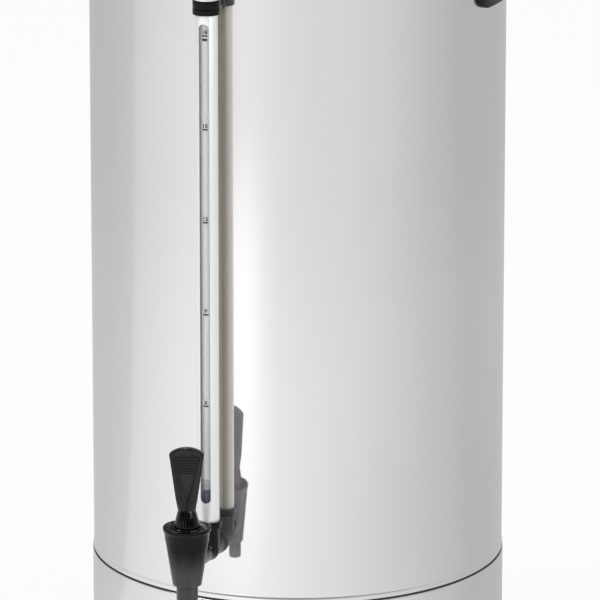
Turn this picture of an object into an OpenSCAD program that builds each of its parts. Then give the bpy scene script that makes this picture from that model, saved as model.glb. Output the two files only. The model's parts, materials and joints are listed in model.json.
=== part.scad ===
// Hot water urn: a double walled steel body on a base band, with a sight gauge column and a lever tap.
// The axis of the body is Z, the table is z = 0 and the tap faces the front, which is -Y.

/* [Body] */
// Outer diameter of the body shell
body_d = 270; // [240:1:320]
// Height of the body shell, from the seam to the rim
body_h = 435; // [400:1:520]
// Thickness of the sheet steel
sheet = 1; // [0.8:0.1:1.4]
// Air gap between the body shell and the tank wall
wall_gap = 7; // [6:0.5:10]
// Height of the tank floor above the seam
tank_lift = 18; // [14:1:24]
// How far the bead at the foot of the body shell stands out
bead_out = 0.4; // [0.3:0.1:1.5]
// Height of that bead
bead_h = 4; // [3:0.5:6]
// Depth of the lip that the tank rim turns down over the body shell
rim_lip = 6; // [4:0.5:10]

/* [Base] */
// Height of the base band, from the foot ring to the seam
base_h = 80; // [76:1:110]
// Height of the foot ring
foot_h = 10; // [8:0.5:16]
// Width of the foot ring
foot_w = 30; // [26:1:40]
// How far the base band stands out past the body shell
base_step = 0.7; // [0.4:0.1:1.5]
// Open gap at the seam
seam_gap = 1.5; // [0.8:0.1:2]
// How far the base band reaches up inside the body shell
seam_lap = 10; // [6:1:14]
// Diameter of the support posts under the tank
post_d = 10; // [8:0.5:14]
// Diameter of the base screws
base_screw_d = 4; // [3:0.5:5]

/* [Lid] */
// Rise of the lid's dome
lid_rise = 16; // [10:1:30]
// Depth of the lid's skirt inside the tank
lid_skirt = 12; // [8:1:20]
// Width of the flat brim of the lid
brim_w = 8; // [5:0.5:9]
// Diameter of the lid knob
knob_d = 46; // [36:1:60]
// Height of the lid knob
knob_h = 30; // [24:1:40]
// Diameter of the lid screw
lid_screw_d = 5; // [4:0.5:6]
// Diameter of the steam hole in the lid
steam_d = 5; // [3:0.5:8]

/* [Side handles] */
// Width of a handle's plate
plate_w = 80; // [70:1:100]
// Height of a handle's plate
plate_h = 38; // [32:1:50]
// Thickness of a handle's plate
plate_t = 3.2; // [2.5:0.1:5]
// Corner radius of a handle's plate
plate_r = 8; // [4:0.5:12]
// Height from the lower edge of a handle's plate to the rim
handle_drop = 59; // [54:1:75]
// Diameter of a handle's grip
grip_d = 16; // [14:0.5:20]
// Distance from the body shell to the middle of the grip
grip_reach = 38; // [32:1:50]
// Angle by which the grip's arms rise
grip_tilt = 15; // [0:1:20]
// Angle by which the line of the handles is turned about the body
handle_turn = 7; // [0:1:12]
// Diameter of the handle screws
handle_screw_d = 5; // [4:0.5:6]

/* [Gauge column] */
// Distance from the body shell to the axis of the guard tube
guard_gap = 15.4; // [14.6:0.1:20]
// Diameter of the guard tube
guard_d = 14.3; // [13.4:0.1:16]
// Wall of the guard tube
guard_wall = 1.3; // [1:0.1:1.5]
// Width of the slot in the guard tube
slot_w = 6.7; // [5:0.1:8]
// Height of the slot's foot above the socket
slot_lift = 12.7; // [8:0.1:20]
// Distance from the slot's top to the gauge head
slot_drop = 5.5; // [4:0.1:12]
// Angle by which the slot is turned off the front
slot_turn = 7; // [0:1:15]
// Diameter of the gauge glass
glass_d = 9; // [8:0.1:9.4]
// Wall of the gauge glass
glass_wall = 1.2; // [1:0.1:1.3]
// Diameter of the float
float_d = 5.8; // [5.4:0.1:6]
// Height of the float
float_h = 12.6; // [9:0.1:16]
// Height of the sleeve's ledge above the socket, where the glass stands
glass_lift = 8.9; // [6:0.1:10]
// How far the sleeve grips the glass
sleeve_grip = 3.2; // [2:0.1:3.5]
// Distance from the rim down to the gauge head
head_drop = 46.4; // [40:0.1:80]
// Height of the gauge head
head_h = 9.1; // [8:0.1:14]
// Wall of the gauge head round the guard tube
head_wall = 1.65; // [1.3:0.05:2.5]
// Width of the neck between the head and the body
head_neck = 9; // [8:0.5:12]
// Height of the gauge cap
cap_h = 14; // [12:0.5:20]

/* [Tee and shank] */
// Diameter of the tee's arm
arm_d = 12.4; // [11.6:0.1:13.4]
// Bore of the tee's arm
arm_bore = 7; // [5:0.5:8]
// Depth of the arm's axis under the bonnet
arm_drop = 16.2; // [15:0.1:17]
// Diameter of the tee's leg
leg_d = 14; // [13.6:0.1:15]
// Diameter of the socket round the guard tube
socket_d = 16.8; // [16.2:0.1:18]
// Height of the socket's top above the arm's axis
socket_h = 19.9; // [17:0.1:24]
// Height of the socket's lip
lip_h = 4.4; // [4.2:0.1:8]
// Diameter of the shank
shank_d = 10; // [9:0.5:11]
// Bore of the shank
shank_bore = 6; // [5:0.5:7]
// Diameter of the gasket on the body shell
gasket_d = 13; // [12.4:0.1:16]
// Thickness of the gaskets
gasket_t = 2.5; // [2:0.1:3]
// Width of the shank nut across its corners
nut_d = 19; // [17:0.5:22]

/* [Tap] */
// Height of the bonnet's top above the seam
tap_top = 63.2; // [60:0.1:68]
// Distance from the body shell to the axis of the tap
tap_gap = 50; // [47:0.1:60]
// Diameter of the bonnet
bonnet_d = 30.8; // [30:0.1:36]
// Height of the bonnet
bonnet_h = 9.5; // [9:0.5:12]
// Diameter of the tap body under the bonnet
cone_d = 27.4; // [26.6:0.1:29]
// Diameter of the tap body at its shoulder
shoulder_d = 18.6; // [18.6:0.1:22]
// Height of the shoulder above the seam
shoulder_h = 25; // [24:0.5:27]
// Diameter of the nozzle
nozzle_d = 13.8; // [12:0.1:16]
// Bore of the nozzle
nozzle_bore = 9; // [7:0.5:10]
// Length of the nozzle
nozzle_l = 10; // [8:0.5:16]
// Diameter of the chamber inside the tap
chamber_d = 16.4; // [15.6:0.1:16.8]

/* [Tap lever] */
// Height of the lever
lever_h = 51.5; // [44:0.5:64]
// Width of the lever's paddle
lever_w = 22.2; // [18:0.2:26]
// Width of the lever's waist
waist_w = 11.2; // [10:0.1:13]
// Height of the waist above the foot
waist_h = 11; // [9.5:0.5:14]
// Diameter of the lever's foot
lever_foot_d = 16.7; // [16.4:0.1:19]
// Front to back depth of the paddle at the waist
paddle_t = 9; // [8:0.5:11]
// Turn of the lever about the axis of the tap, towards +X
lever_turn = 20; // [0:1:30]
// Number of grip ribs
ribs = 7; // [4:1:9]
// Tilt at which the tap is fully open
lever_tilt = 20; // [12:1:22]
// Diameter of the lever pin
pin_d = 1.8; // [1.5:0.1:2.2]
// Diameter of the tap stem
stem_d = 4.4; // [4:0.1:5]
// Coils of the tap spring
spring_coils = 6; // [4:1:8]
// Wire of the tap spring
wire_d = 1; // [0.8:0.1:1.3]

/* [Controls] */
// Height of the controls above the foot ring
control_lift = 40; // [36:1:44]
// Azimuth of the rocker switch
switch_at = 8; // [3:1:11]
// Azimuth of the pilot lamps
lamp_at = 19; // [18:1:21]
// Azimuth of the thermostat knob
dial_at = 33; // [32:1:43]
// Width of the switch frame
frame_w = 22; // [20:0.5:26]
// Height of the switch frame
frame_h = 28; // [26:0.5:34]
// Tilt of the rocker to each side
rocker_tilt = 7; // [4:1:9]
// Diameter of a pilot lamp's flange
lamp_d = 11; // [9:0.5:13]
// Distance between the pilot lamps
lamp_pitch = 20; // [16:1:26]
// Diameter of the thermostat knob
dial_d = 40; // [34:1:46]
// Height of the thermostat knob
dial_h = 18; // [15:0.5:24]
// Diameter of the thermostat shaft
shaft_d = 6; // [5:0.5:7]
// Width of the power inlet
inlet_w = 30; // [28:0.5:34]
// Height of the power inlet
inlet_h = 24; // [22:0.5:28]

/* [Heater] */
// Diameter of the heating ring
heater_d = 170; // [140:1:190]
// Diameter of the heating rod
rod_d = 8; // [6:0.5:10]
// Height of the heating ring above the tank floor
heater_lift = 14; // [12:1:20]
// Angle between the two legs of the heating ring
heater_open = 20; // [16:1:30]
// Diameter of the thermal cut-out
cutout_d = 24; // [18:1:30]

/* [Fits] */
// Clearance between neighbouring pieces
clear = 0.3; // [0.25:0.05:0.4]
// Radial clearance of a running fit
fit = 0.05; // [0.03:0.01:0.08]

/* [Hidden] */
$fn = 96;
fine = 360;
coil_sides = 6;
coil_steps = 8;

// Body and base
body_r = body_d / 2;
body_in = body_r - sheet;
tank_r = body_in - wall_gap;
tank_in = tank_r - sheet;
seam_z = foot_h + base_h;
rim_z = seam_z + body_h;
floor_z = seam_z + tank_lift;
deck_z = foot_h + sheet;
rim_top = rim_z + sheet;
lip_in = body_r + clear;
band_r = body_r + base_step;
band_in = band_r - sheet;
lap_r = body_in - clear;
seam_inset = 0.2;
post_at = band_in - foot_w / 2 - post_d / 2;
posts = 3;
post_turn = 120;
post_screw = 12;
screw_head_h = 3;

// Lid
skirt_r = tank_in - 2 * clear;
brim_r = skirt_r + brim_w;
dome_r = skirt_r - sheet;
lid_z = rim_top + sheet;
lid_top = lid_z + lid_rise;
knob_neck = 0.45 * knob_d;
knob_foot = 0.62 * knob_d;
knob_crown = 0.7 * knob_d;
knob_flare = 0.45 * knob_h;
knob_edge = 0.65 * knob_h;
knob_shoulder = 0.83 * knob_h;
lid_thread = 14;
lid_head_d = 2.4 * lid_screw_d;
lid_seat = lid_top - sheet - clear;
steam_at = 0.7 * dome_r;
dome_steps = 12;

// Side handles
plate_z = rim_z - handle_drop;
root_z = plate_z + plate_h / 2;
arm_margin = 2;
arm_at = plate_w / 2 - grip_d / 2 - arm_margin;
handle_thread = 12;
handle_head_h = 3;
handle_seat = sqrt(pow(body_in, 2) - pow(arm_at + handle_screw_d, 2)) - fit;

// Gauge column
guard_r = guard_d / 2;
guard_in = guard_r - guard_wall;
glass_r = glass_d / 2;
glass_in = glass_r - glass_wall;
guard_y = body_r + guard_gap;
tap_top_z = seam_z + tap_top;
bonnet_z = tap_top_z - bonnet_h;
arm_z = bonnet_z - arm_drop;
socket_top = arm_z + socket_h;
socket_grip = 3.8;
sleeve_seat = 5;
guard_z = socket_top - socket_grip;
sleeve_z = guard_z - sleeve_seat;
sleeve_r = guard_in - fit;
sleeve_bore = 0.8 * float_d;
glass_z = socket_top + glass_lift;
float_z = glass_z + sqrt(pow(float_d / 2 + fit, 2) - pow(sleeve_bore / 2, 2));
head_z = rim_z - head_drop;
head_top = head_z + head_h;
head_roof = 3.5;
guard_top = head_top - head_roof;
glass_top = head_top + cap_h / 2;
lobe_r = guard_r + head_wall;
head_groove = 0.12 * head_h;
head_groove_z = head_z + 0.4 * head_h;
column_screw_d = 4;
column_thread = 5;
column_screw_z = head_z + head_h / 2;

// Tee and shank
joint_gap = 1.6;
arm_end = guard_y + leg_d / 2 + joint_gap;
tap_y = body_r + tap_gap;
washer_d = nut_d + 1;
nut_h = 6;
spacer_d = shank_d + 6;
tank_flat = sqrt(pow(tank_in, 2) - pow(washer_d / 2, 2)) - fit;
gap_out = sqrt(pow(body_in, 2) - pow(spacer_d / 2, 2)) - fit;
shank_in = tank_flat - gasket_t - nut_h - 3;
shank_out = guard_y - leg_d / 2 + 2;

// Tap
shoulder_z = seam_z + shoulder_h;
nozzle_z = shoulder_z - nozzle_l;
seat_z = shoulder_z + 3;
bonnet_cap = 4;
rim_band = 2.8;
rim_step = 0.5;
dish = 1.2;
dish_edge = 2.4;
neck_top = tap_top_z - bonnet_cap - clear;
neck_d = chamber_d + 7;
seal_d = chamber_d - 2.4;
seal_h = 10;
seal_z = seat_z + fit;

// Tap lever
lever_z = tap_top_z + clear;
lever_foot_r = lever_foot_d / 2;
pin_z = 2.4;
slack = 0.2;
eye_wall = 1.3;
tilt_sin = sin(lever_tilt);
tilt_cos = cos(lever_tilt);
pin_lift = lever_foot_r * tilt_sin - pin_z * (1 - tilt_cos);
pin_shift = lever_foot_r * (1 - tilt_cos) + pin_z * tilt_sin;
eye_front = pin_shift + pin_d / 2 + slack + eye_wall;
eye_back = pin_d / 2 + slack + eye_wall;
eye_top = pin_z + pin_d / 2 + slack + eye_wall;
eye_w = stem_d;
cavity_back = (eye_back + lever_foot_r) * tilt_cos + (eye_top + pin_lift) * tilt_sin - lever_foot_r + clear;
cavity_rise = (eye_top + pin_lift) * tilt_cos - (lever_foot_r - eye_front) * tilt_sin;
cavity_top = max(eye_top, cavity_rise) + clear;
paddle_front = 0.47 * paddle_t;
paddle_back = paddle_t - paddle_front;
paddle_tip = 0.3 * paddle_t;
crown = 4;
crown_r = (pow(lever_w / 2, 2) + crown * crown) / (2 * crown);
crown_angle = asin(lever_w / 2 / crown_r);
crown_hub = 0.55 * lever_w;
corner_cut = 0.3;
corner_r = sqrt(pow(lever_w / 2, 2) + pow(crown_hub - crown, 2)) - corner_cut;
paddle_swell = 0.7 * lever_w;
border = 2.2;
recess = 1.8;
rib_t = 0.7;
rib_pitch = 1.7;
rib_h = 0.6;
rib_top = lever_h - crown - border - 1;
paddle_lean = 0.38 * paddle_t;
lean_angle = atan(paddle_lean / (lever_h - waist_h));
recess_low = [0.4, waist_h + 1];
recess_slope = 45;
recess_step = 0.2;
recess_angle = atan((lever_w / 2 - border - recess_low.x) / (lever_h - crown - border - recess_low.y));
spring_r = (stem_d + chamber_d) / 4;

// Controls
control_z = foot_h + control_lift;
frame_t = 2.5;
barrel_w = frame_w - 3;
barrel_h = frame_h - 3;
barrel_l = 20;
rocker_w = frame_w - 9;
rocker_h = frame_h - 8;
rocker_in = 1;
rocker_out = 5.6;
rocker_dip = 1.2;
rocker_back = 3;
well_depth = 12;
trunnion_d = 2.4;
trunnion_l = 1;
lamp_barrel = lamp_d - 2;
lamp_flange = 1.5;
lamp_dome = 3;
lamp_l = 14;
dial_recess = 5;
bush_d = shaft_d + 4;
dial_nut_d = bush_d + 7;
dial_nut_h = 3;
stat_w = 34;
stat_h = 30;
stat_l = 24;
stat_y = band_r - sqrt(pow(band_in, 2) - pow(stat_w / 2, 2)) + fit;
inlet_t = 2.5;
inlet_body_w = inlet_w - 3;
inlet_body_h = inlet_h - 3;
inlet_l = 22;
socket_w = inlet_w - 6;
socket_high = 0.7 * socket_w;
socket_depth = 16;
pin_length = 10;
pin_pitch = 7;
tab = [0.8, 8, 5];
tab_pitch = 5;
stat_tab_at = 8;
inlet_pin = [2, 4];
block = [44, 18, 16];
pole = [6, 10];
poles = 4;
dial_skirt = 0.35 * dial_h;
dial_grip_d = 0.8 * dial_d;
dial_top_d = 0.72 * dial_d;
pointer = [0.08 * dial_d, 0.4 * dial_d, 0.6];

// Heater
heater_z = floor_z + heater_lift;
heater_leg = 20;
collar_d = rod_d + 10;
collar_h = 2;
hex_h = 5;
cutout_h = 12;

// A tube or washer standing on z
module tube(outer, inner, z, h) {
    translate([0, 0, z])
        difference() {
            cylinder(d = outer, h = h);
            translate([0, 0, -1]) cylinder(d = inner, h = h + 2);
        }
}

// A round bar along Y, from y0 to y1
module bar_y(d, y0, y1) {
    translate([0, y1, 0]) rotate([90, 0, 0]) cylinder(d = d, h = y1 - y0);
}

// A washer along Y, from y0 to y1
module washer_y(outer, inner, y0, y1) {
    difference() {
        bar_y(outer, y0, y1);
        bar_y(inner, y0 - 1, y1 + 1);
    }
}

// A box given by its middle in x and z and its reach in y
module slab(w, h, y0, y1) {
    translate([-w / 2, y0, -h / 2]) cube([w, y1 - y0, h]);
}

// A flat rectangle with round corners
module round_rect(w, h, r) {
    square([w - 2 * r, h], center = true);
    square([w, h - 2 * r], center = true);
    for (x = [-1, 1], y = [-1, 1])
        translate([x * (w / 2 - r), y * (h / 2 - r)]) circle(r);
}

// Turns the front to an azimuth, counted towards +X
module at_azimuth(a) {
    rotate([0, 0, a]) children();
}

// A place on the outside of the base band
module on_band(a, z) {
    at_azimuth(a) translate([0, -band_r, z]) children();
}

// The guard tube's axis
module at_guard() {
    translate([0, -guard_y, 0]) children();
}

// The tap's axis
module at_tap() {
    translate([0, -tap_y, 0]) children();
}

// The axis of the tap, turned to the side that the lever faces
module at_lever() {
    at_tap() rotate([0, 0, lever_turn]) children();
}

// The line of the arm and the shank, straight into the body
module at_arm() {
    translate([0, 0, arm_z]) children();
}

module handle_frame(side) {
    at_azimuth(side * 90 + handle_turn) children();
}

module handle_screw_places() {
    for (side = [-1, 1], x = [-arm_at, arm_at])
        handle_frame(side) translate([x, 0, root_z]) children();
}

module post_places() {
    for (i = [0:posts - 1]) rotate([0, 0, post_turn + i * 360 / posts]) translate([post_at, 0, 0]) children();
}

module heater_leg_places() {
    for (side = [-1, 1]) rotate([0, 0, 90 + side * heater_open / 2]) translate([heater_d / 2, 0, 0]) children();
}

module outer_body() {
    color("gainsboro")
    difference() {
        rotate_extrude()
            polygon([
                [body_in, seam_z], [body_r + bead_out, seam_z], [body_r + bead_out, seam_z + bead_h / 2],
                [body_r, seam_z + bead_h], [body_r, rim_z], [body_in, rim_z]
            ]);
        at_arm() bar_y(shank_d + 2 * clear, -body_r - 1, -body_in + 1);
        handle_screw_places() bar_y(handle_screw_d + 2 * clear, -body_r - 1, -handle_seat);
        translate([0, 0, column_screw_z]) bar_y(column_screw_d + 2 * clear, -body_r - 1, -body_in + 1);
    }
}

module inner_tank() {
    color("silver")
    difference() {
        tube(2 * tank_r, 2 * tank_in, floor_z - sheet, rim_z - floor_z + sheet);
        at_arm() bar_y(shank_d + 2 * clear, -tank_r - 1, -tank_in + 1);
    }
}

module tank_floor() {
    color("silver")
    difference() {
        translate([0, 0, floor_z - sheet]) cylinder(r = tank_in - fit, h = sheet);
        heater_leg_places()
            translate([0, 0, floor_z - sheet - 1]) cylinder(d = rod_d + 2 * clear, h = sheet + 2);
    }
}

// The rim lies on the tank and the body shell and turns down over the shell
module tank_rim() {
    color("silver")
    rotate_extrude()
        polygon([
            [tank_in, rim_z], [lip_in, rim_z], [lip_in, rim_z - rim_lip], [lip_in + sheet, rim_z - rim_lip],
            [lip_in + sheet, rim_z], [lip_in, rim_top], [tank_in, rim_top]
        ]);
}

module base_band() {
    color("gainsboro")
    difference() {
        rotate_extrude()
            polygon([
                [band_in, foot_h], [band_r, foot_h], [band_r, seam_z - seam_gap], [lap_r, seam_z - seam_gap],
                [lap_r, seam_z + seam_lap], [lap_r - sheet, seam_z + seam_lap],
                [lap_r - sheet, seam_z - seam_gap - sheet], [band_in, seam_z - seam_gap - sheet]
            ]);
        on_band(switch_at, control_z) slab(barrel_w + 2 * clear, barrel_h + 2 * clear, -2, sheet + 2);
        on_band(dial_at, control_z) bar_y(bush_d + 2 * clear, -2, sheet + 2);
        for (side = [-1, 1])
            on_band(lamp_at, control_z + side * lamp_pitch / 2)
                bar_y(lamp_barrel + 2 * clear, -2, sheet + 2);
        on_band(180, control_z) slab(inlet_body_w + 2 * clear, inlet_body_h + 2 * clear, -2, sheet + 3);
    }
}

module seam_seal() {
    color("#202022")
    tube(2 * (body_r - seam_inset), 2 * (lap_r + fit), seam_z - seam_gap, seam_gap);
}

module bottom_plate() {
    color("darkgray")
    difference() {
        translate([0, 0, foot_h]) cylinder(r = band_in - clear, h = sheet);
        post_places() translate([0, 0, foot_h - 1]) cylinder(d = base_screw_d + 2 * clear, h = sheet + 2);
    }
}

module foot_ring() {
    color("#202022")
    difference() {
        tube(2 * (band_r + clear), 2 * (band_r + clear - foot_w), 0, foot_h);
        post_places() {
            translate([0, 0, -1]) cylinder(d = base_screw_d + 2 * clear, h = foot_h + 2);
            translate([0, 0, -1]) cylinder(d = 2 * base_screw_d + 2 * clear, h = foot_h / 2 + 1);
        }
    }
}

module support_posts() {
    color("silver")
    post_places()
        difference() {
            translate([0, 0, deck_z]) cylinder(d = post_d, h = floor_z - sheet - deck_z);
            translate([0, 0, deck_z - 1]) cylinder(d = base_screw_d + 2 * fit, h = post_screw + 2);
        }
}

module base_screws() {
    color("silver")
    post_places() {
        translate([0, 0, foot_h / 2]) cylinder(d = base_screw_d, h = foot_h / 2 + sheet + post_screw);
        translate([0, 0, foot_h / 2 - screw_head_h]) cylinder(d = 2 * base_screw_d, h = screw_head_h);
    }
}

// Height of the lid's dome at a radius
function dome_z(r) = lid_z + lid_rise * (1 - pow(r / dome_r, 2));

module lid() {
    color("gainsboro")
    difference() {
        rotate_extrude()
            polygon(concat(
                [for (i = [0:dome_steps]) [dome_r * i / dome_steps, dome_z(dome_r * i / dome_steps)]],
                [[brim_r, lid_z], [brim_r, rim_top]],
                [for (i = [dome_steps:-1:0]) [dome_r * i / dome_steps, dome_z(dome_r * i / dome_steps) - sheet]]
            ));
        translate([0, 0, rim_top]) cylinder(d = lid_screw_d + 2 * clear, h = lid_rise + 2 * sheet);
        translate([0, steam_at, rim_top]) cylinder(d = steam_d, h = lid_rise + 2 * sheet);
    }
}

module lid_skirt() {
    color("gainsboro")
    tube(2 * skirt_r, 2 * dome_r, rim_top - lid_skirt, lid_skirt);
}

module lid_knob() {
    color("#202022")
    translate([0, 0, lid_top])
        difference() {
            union() {
                cylinder(d1 = knob_foot, d2 = knob_neck, h = knob_flare / 2);
                cylinder(d = knob_neck, h = knob_edge);
                translate([0, 0, knob_flare]) cylinder(d1 = knob_neck, d2 = knob_d, h = knob_edge - knob_flare);
                translate([0, 0, knob_edge]) cylinder(d = knob_d, h = knob_shoulder - knob_edge);
                translate([0, 0, knob_shoulder])
                    cylinder(d1 = knob_d, d2 = knob_crown, h = knob_h - knob_shoulder);
            }
            translate([0, 0, -1]) cylinder(d = lid_screw_d + 2 * fit, h = lid_thread + 2);
        }
}

module lid_screw() {
    color("silver") {
        translate([0, 0, lid_seat]) cylinder(d = lid_screw_d, h = lid_top - lid_seat + lid_thread);
        translate([0, 0, lid_seat - screw_head_h]) cylinder(d = lid_head_d, h = screw_head_h);
    }
}

// A bow handle on a plate that follows the body shell
module side_handle(side) {
    arm_l = grip_reach - plate_t / 2;
    skin_r = body_r + clear;
    color("#202022")
    handle_frame(side)
        difference() {
            union() {
                intersection() {
                    translate([0, 0, plate_z - 1]) cylinder(r = skin_r + plate_t, h = plate_h + 2, $fn = fine);
                    translate([0, -body_r / 2, root_z])
                        rotate([90, 0, 0]) linear_extrude(body_r) round_rect(plate_w, plate_h, plate_r);
                }
                translate([0, -body_r - plate_t / 2, root_z]) rotate([-grip_tilt, 0, 0]) {
                    for (x = [-arm_at, arm_at]) translate([x, 0, 0]) {
                        bar_y(grip_d, -arm_l, grip_d);
                        translate([0, -arm_l, 0]) sphere(d = grip_d);
                    }
                    translate([-arm_at, -arm_l, 0]) rotate([0, 90, 0]) cylinder(d = grip_d, h = 2 * arm_at);
                }
            }
            translate([0, 0, plate_z - plate_h]) cylinder(r = skin_r, h = 3 * plate_h, $fn = fine);
            for (x = [-arm_at, arm_at])
                translate([x, 0, root_z])
                    bar_y(handle_screw_d + 2 * fit, -body_r - handle_thread - 1, -handle_seat);
        }
}

module handle_left() {
    side_handle(-1);
}

module handle_right() {
    side_handle(1);
}

module handle_screws() {
    color("silver")
    handle_screw_places() {
        bar_y(handle_screw_d, -body_r - handle_thread, -handle_seat);
        bar_y(2 * handle_screw_d, -handle_seat, -handle_seat + handle_head_h);
    }
}

module guard_tube() {
    color("#dcdcde")
    at_guard()
        difference() {
            tube(guard_d, 2 * guard_in, guard_z, guard_top - guard_z);
            rotate([0, 0, slot_turn]) {
                translate([-slot_w / 2, -guard_d, socket_top + slot_lift + slot_w / 2])
                    cube([slot_w, guard_d, head_z - slot_drop - socket_top - slot_lift - slot_w]);
                for (z = [socket_top + slot_lift + slot_w / 2, head_z - slot_drop - slot_w / 2])
                    translate([0, 0, z]) bar_y(slot_w, -guard_d, 0);
            }
        }
}

module gauge_glass() {
    color("lightcyan", 0.5)
    at_guard() tube(glass_d, 2 * glass_in, glass_z, glass_top - glass_z);
}

module gauge_sleeve() {
    color("#d8d8d2")
    at_guard()
        difference() {
            translate([0, 0, sleeve_z]) cylinder(r = sleeve_r, h = glass_z + sleeve_grip - sleeve_z);
            translate([0, 0, sleeve_z - 1]) cylinder(d = sleeve_bore, h = glass_z + sleeve_grip - sleeve_z);
            translate([0, 0, glass_z]) cylinder(r = glass_r + fit, h = sleeve_grip + 1);
        }
}

module gauge_seal() {
    color("#d8d8d2")
    at_guard() tube(2 * (guard_in - fit), glass_d + 2 * fit, guard_top - sleeve_seat, sleeve_seat);
}

module gauge_float() {
    color("#1c2a4c")
    at_guard() translate([0, 0, float_z]) {
        sphere(d = float_d);
        cylinder(d = float_d, h = float_h - float_d);
        translate([0, 0, float_h - float_d]) sphere(d = float_d);
    }
}

module gauge_head() {
    color("#18181a")
    difference() {
        union() {
            at_guard() translate([0, 0, head_z]) cylinder(r = lobe_r, h = head_h);
            translate([0, 0, head_z + head_h / 2]) slab(head_neck, head_h, -guard_y, -body_in);
        }
        translate([0, 0, head_z - 1]) cylinder(r = body_r + clear, h = head_h + 2, $fn = fine);
        at_guard() {
            translate([0, 0, head_z - 1]) cylinder(r = guard_r + fit, h = head_h - head_roof + 1);
            translate([0, 0, head_z]) cylinder(r = glass_r + fit, h = head_h + 1);
        }
        difference() {
            at_guard() tube(3 * lobe_r, 2 * lobe_r - head_groove, head_groove_z, head_groove);
            translate([0, -guard_y / 2, head_groove_z]) slab(4 * lobe_r, 2 * head_h, -guard_y / 2, guard_y / 2);
        }
        translate([0, 0, column_screw_z])
            bar_y(column_screw_d + 2 * fit, -body_r - column_thread - fit, -body_in);
    }
}

module gauge_cap() {
    color("#d4d4d6")
    at_guard()
        difference() {
            union() {
                translate([0, 0, head_top]) cylinder(r = lobe_r - clear, h = cap_h * 0.8);
                translate([0, 0, head_top + cap_h * 0.8])
                    cylinder(r1 = lobe_r - clear, r2 = lobe_r * 0.6, h = cap_h * 0.2);
            }
            translate([0, 0, head_top - 1]) cylinder(r = glass_r + fit, h = cap_h / 2 + 1 + clear);
        }
}

module column_screw() {
    inside = sqrt(pow(body_in, 2) - pow(column_screw_d, 2)) - fit;
    color("silver")
    translate([0, 0, column_screw_z]) {
        bar_y(column_screw_d, -body_r - column_thread, -inside);
        bar_y(2 * column_screw_d, -inside, -inside + handle_head_h);
    }
}

// The tee carries the guard tube on its leg and the tap on its arm
module tap_tee() {
    color("#18181a")
    difference() {
        union() {
            at_arm() bar_y(arm_d, -arm_end, -body_r - gasket_t);
            at_arm() at_guard() {
                sphere(d = leg_d);
                cylinder(d = leg_d, h = socket_h);
                translate([0, 0, socket_h - lip_h]) cylinder(d = socket_d, h = lip_h);
            }
        }
        at_arm() {
            bar_y(arm_bore, -arm_end - 1, -body_r);
            bar_y(shank_d + 2 * fit, -shank_out, -body_r);
        }
        at_guard() {
            translate([0, 0, arm_z]) cylinder(d = sleeve_bore, h = socket_h);
            translate([0, 0, sleeve_z]) cylinder(r = sleeve_r + fit, h = socket_h);
            translate([0, 0, guard_z]) cylinder(r = guard_r + fit, h = socket_h);
        }
    }
}

module shank() {
    color("silver")
    at_arm() washer_y(shank_d, shank_bore, -shank_out + fit, -shank_in);
}

module shank_gasket() {
    color("#dedcd6")
    difference() {
        at_arm() washer_y(gasket_d, shank_d + 2 * fit, -body_r - gasket_t, -body_in);
        cylinder(r = body_r + fit, h = rim_z, $fn = fine);
    }
}

module shank_spacer() {
    color("silver")
    difference() {
        at_arm() washer_y(spacer_d, shank_d + 2 * fit, -gap_out, -tank_in);
        cylinder(r = tank_r + fit, h = rim_z, $fn = fine);
    }
}

module tank_gasket() {
    color("#dedcd6")
    at_arm() washer_y(washer_d, shank_d + 2 * fit, -tank_flat, -tank_flat + gasket_t);
}

module shank_nut() {
    color("silver")
    at_arm()
        difference() {
            translate([0, -tank_flat + gasket_t + nut_h, 0])
                rotate([90, 0, 0]) cylinder(d = nut_d, h = nut_h, $fn = 6);
            bar_y(shank_d + 2 * fit, -tank_in, -shank_in);
        }
}

module tap_body() {
    color("#1c1c1e")
    difference() {
        union() {
            at_tap() {
                translate([0, 0, nozzle_z]) cylinder(d = nozzle_d, h = nozzle_l);
                translate([0, 0, shoulder_z]) cylinder(d1 = shoulder_d, d2 = cone_d, h = bonnet_z - shoulder_z);
                translate([0, 0, bonnet_z]) cylinder(d = neck_d, h = neck_top - bonnet_z);
            }
            at_arm() bar_y(arm_d, -tap_y, -arm_end);
        }
        at_tap() {
            translate([0, 0, nozzle_z - 1]) cylinder(d = nozzle_bore, h = seat_z - nozzle_z + 2);
            translate([0, 0, seat_z]) cylinder(d = chamber_d, h = neck_top - seat_z + 1);
        }
        at_arm() bar_y(arm_bore, -tap_y, -arm_end + 1);
    }
}

module tap_bonnet() {
    color("#18181a")
    at_tap()
        difference() {
            rotate_extrude()
                polygon([
                    [0, bonnet_z], [cone_d / 2 + clear, bonnet_z],
                    [bonnet_d / 2 - rim_step, tap_top_z - rim_band],
                    [bonnet_d / 2, tap_top_z - rim_band + rim_step], [bonnet_d / 2, tap_top_z - rim_step],
                    [bonnet_d / 2 - rim_step, tap_top_z], [0, tap_top_z]
                ]);
            translate([0, 0, bonnet_z - 1]) cylinder(d = neck_d + 2 * clear, h = bonnet_h - bonnet_cap + 1);
            cylinder(d = stem_d + 2 * fit, h = tap_top_z + 1);
            tube(bonnet_d - 2 * dish_edge, lever_foot_d + dish_edge, tap_top_z - dish, bonnet_cap);
        }
}

// The front outline of the paddle, drawn inside a border, from a height up to the crown
module paddle_outline(inset, low) {
    side = lever_w / 2 - inset;
    polygon(concat(
        [[-low[0], low[1]], [low[0], low[1]]],
        [
            for (i = [-6:6])
                let (a = crown_angle * i / 6)
                    [-side / sin(crown_angle) * sin(a), lever_h - inset - crown_r + crown_r * cos(a)]
        ]
    ));
}

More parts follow.
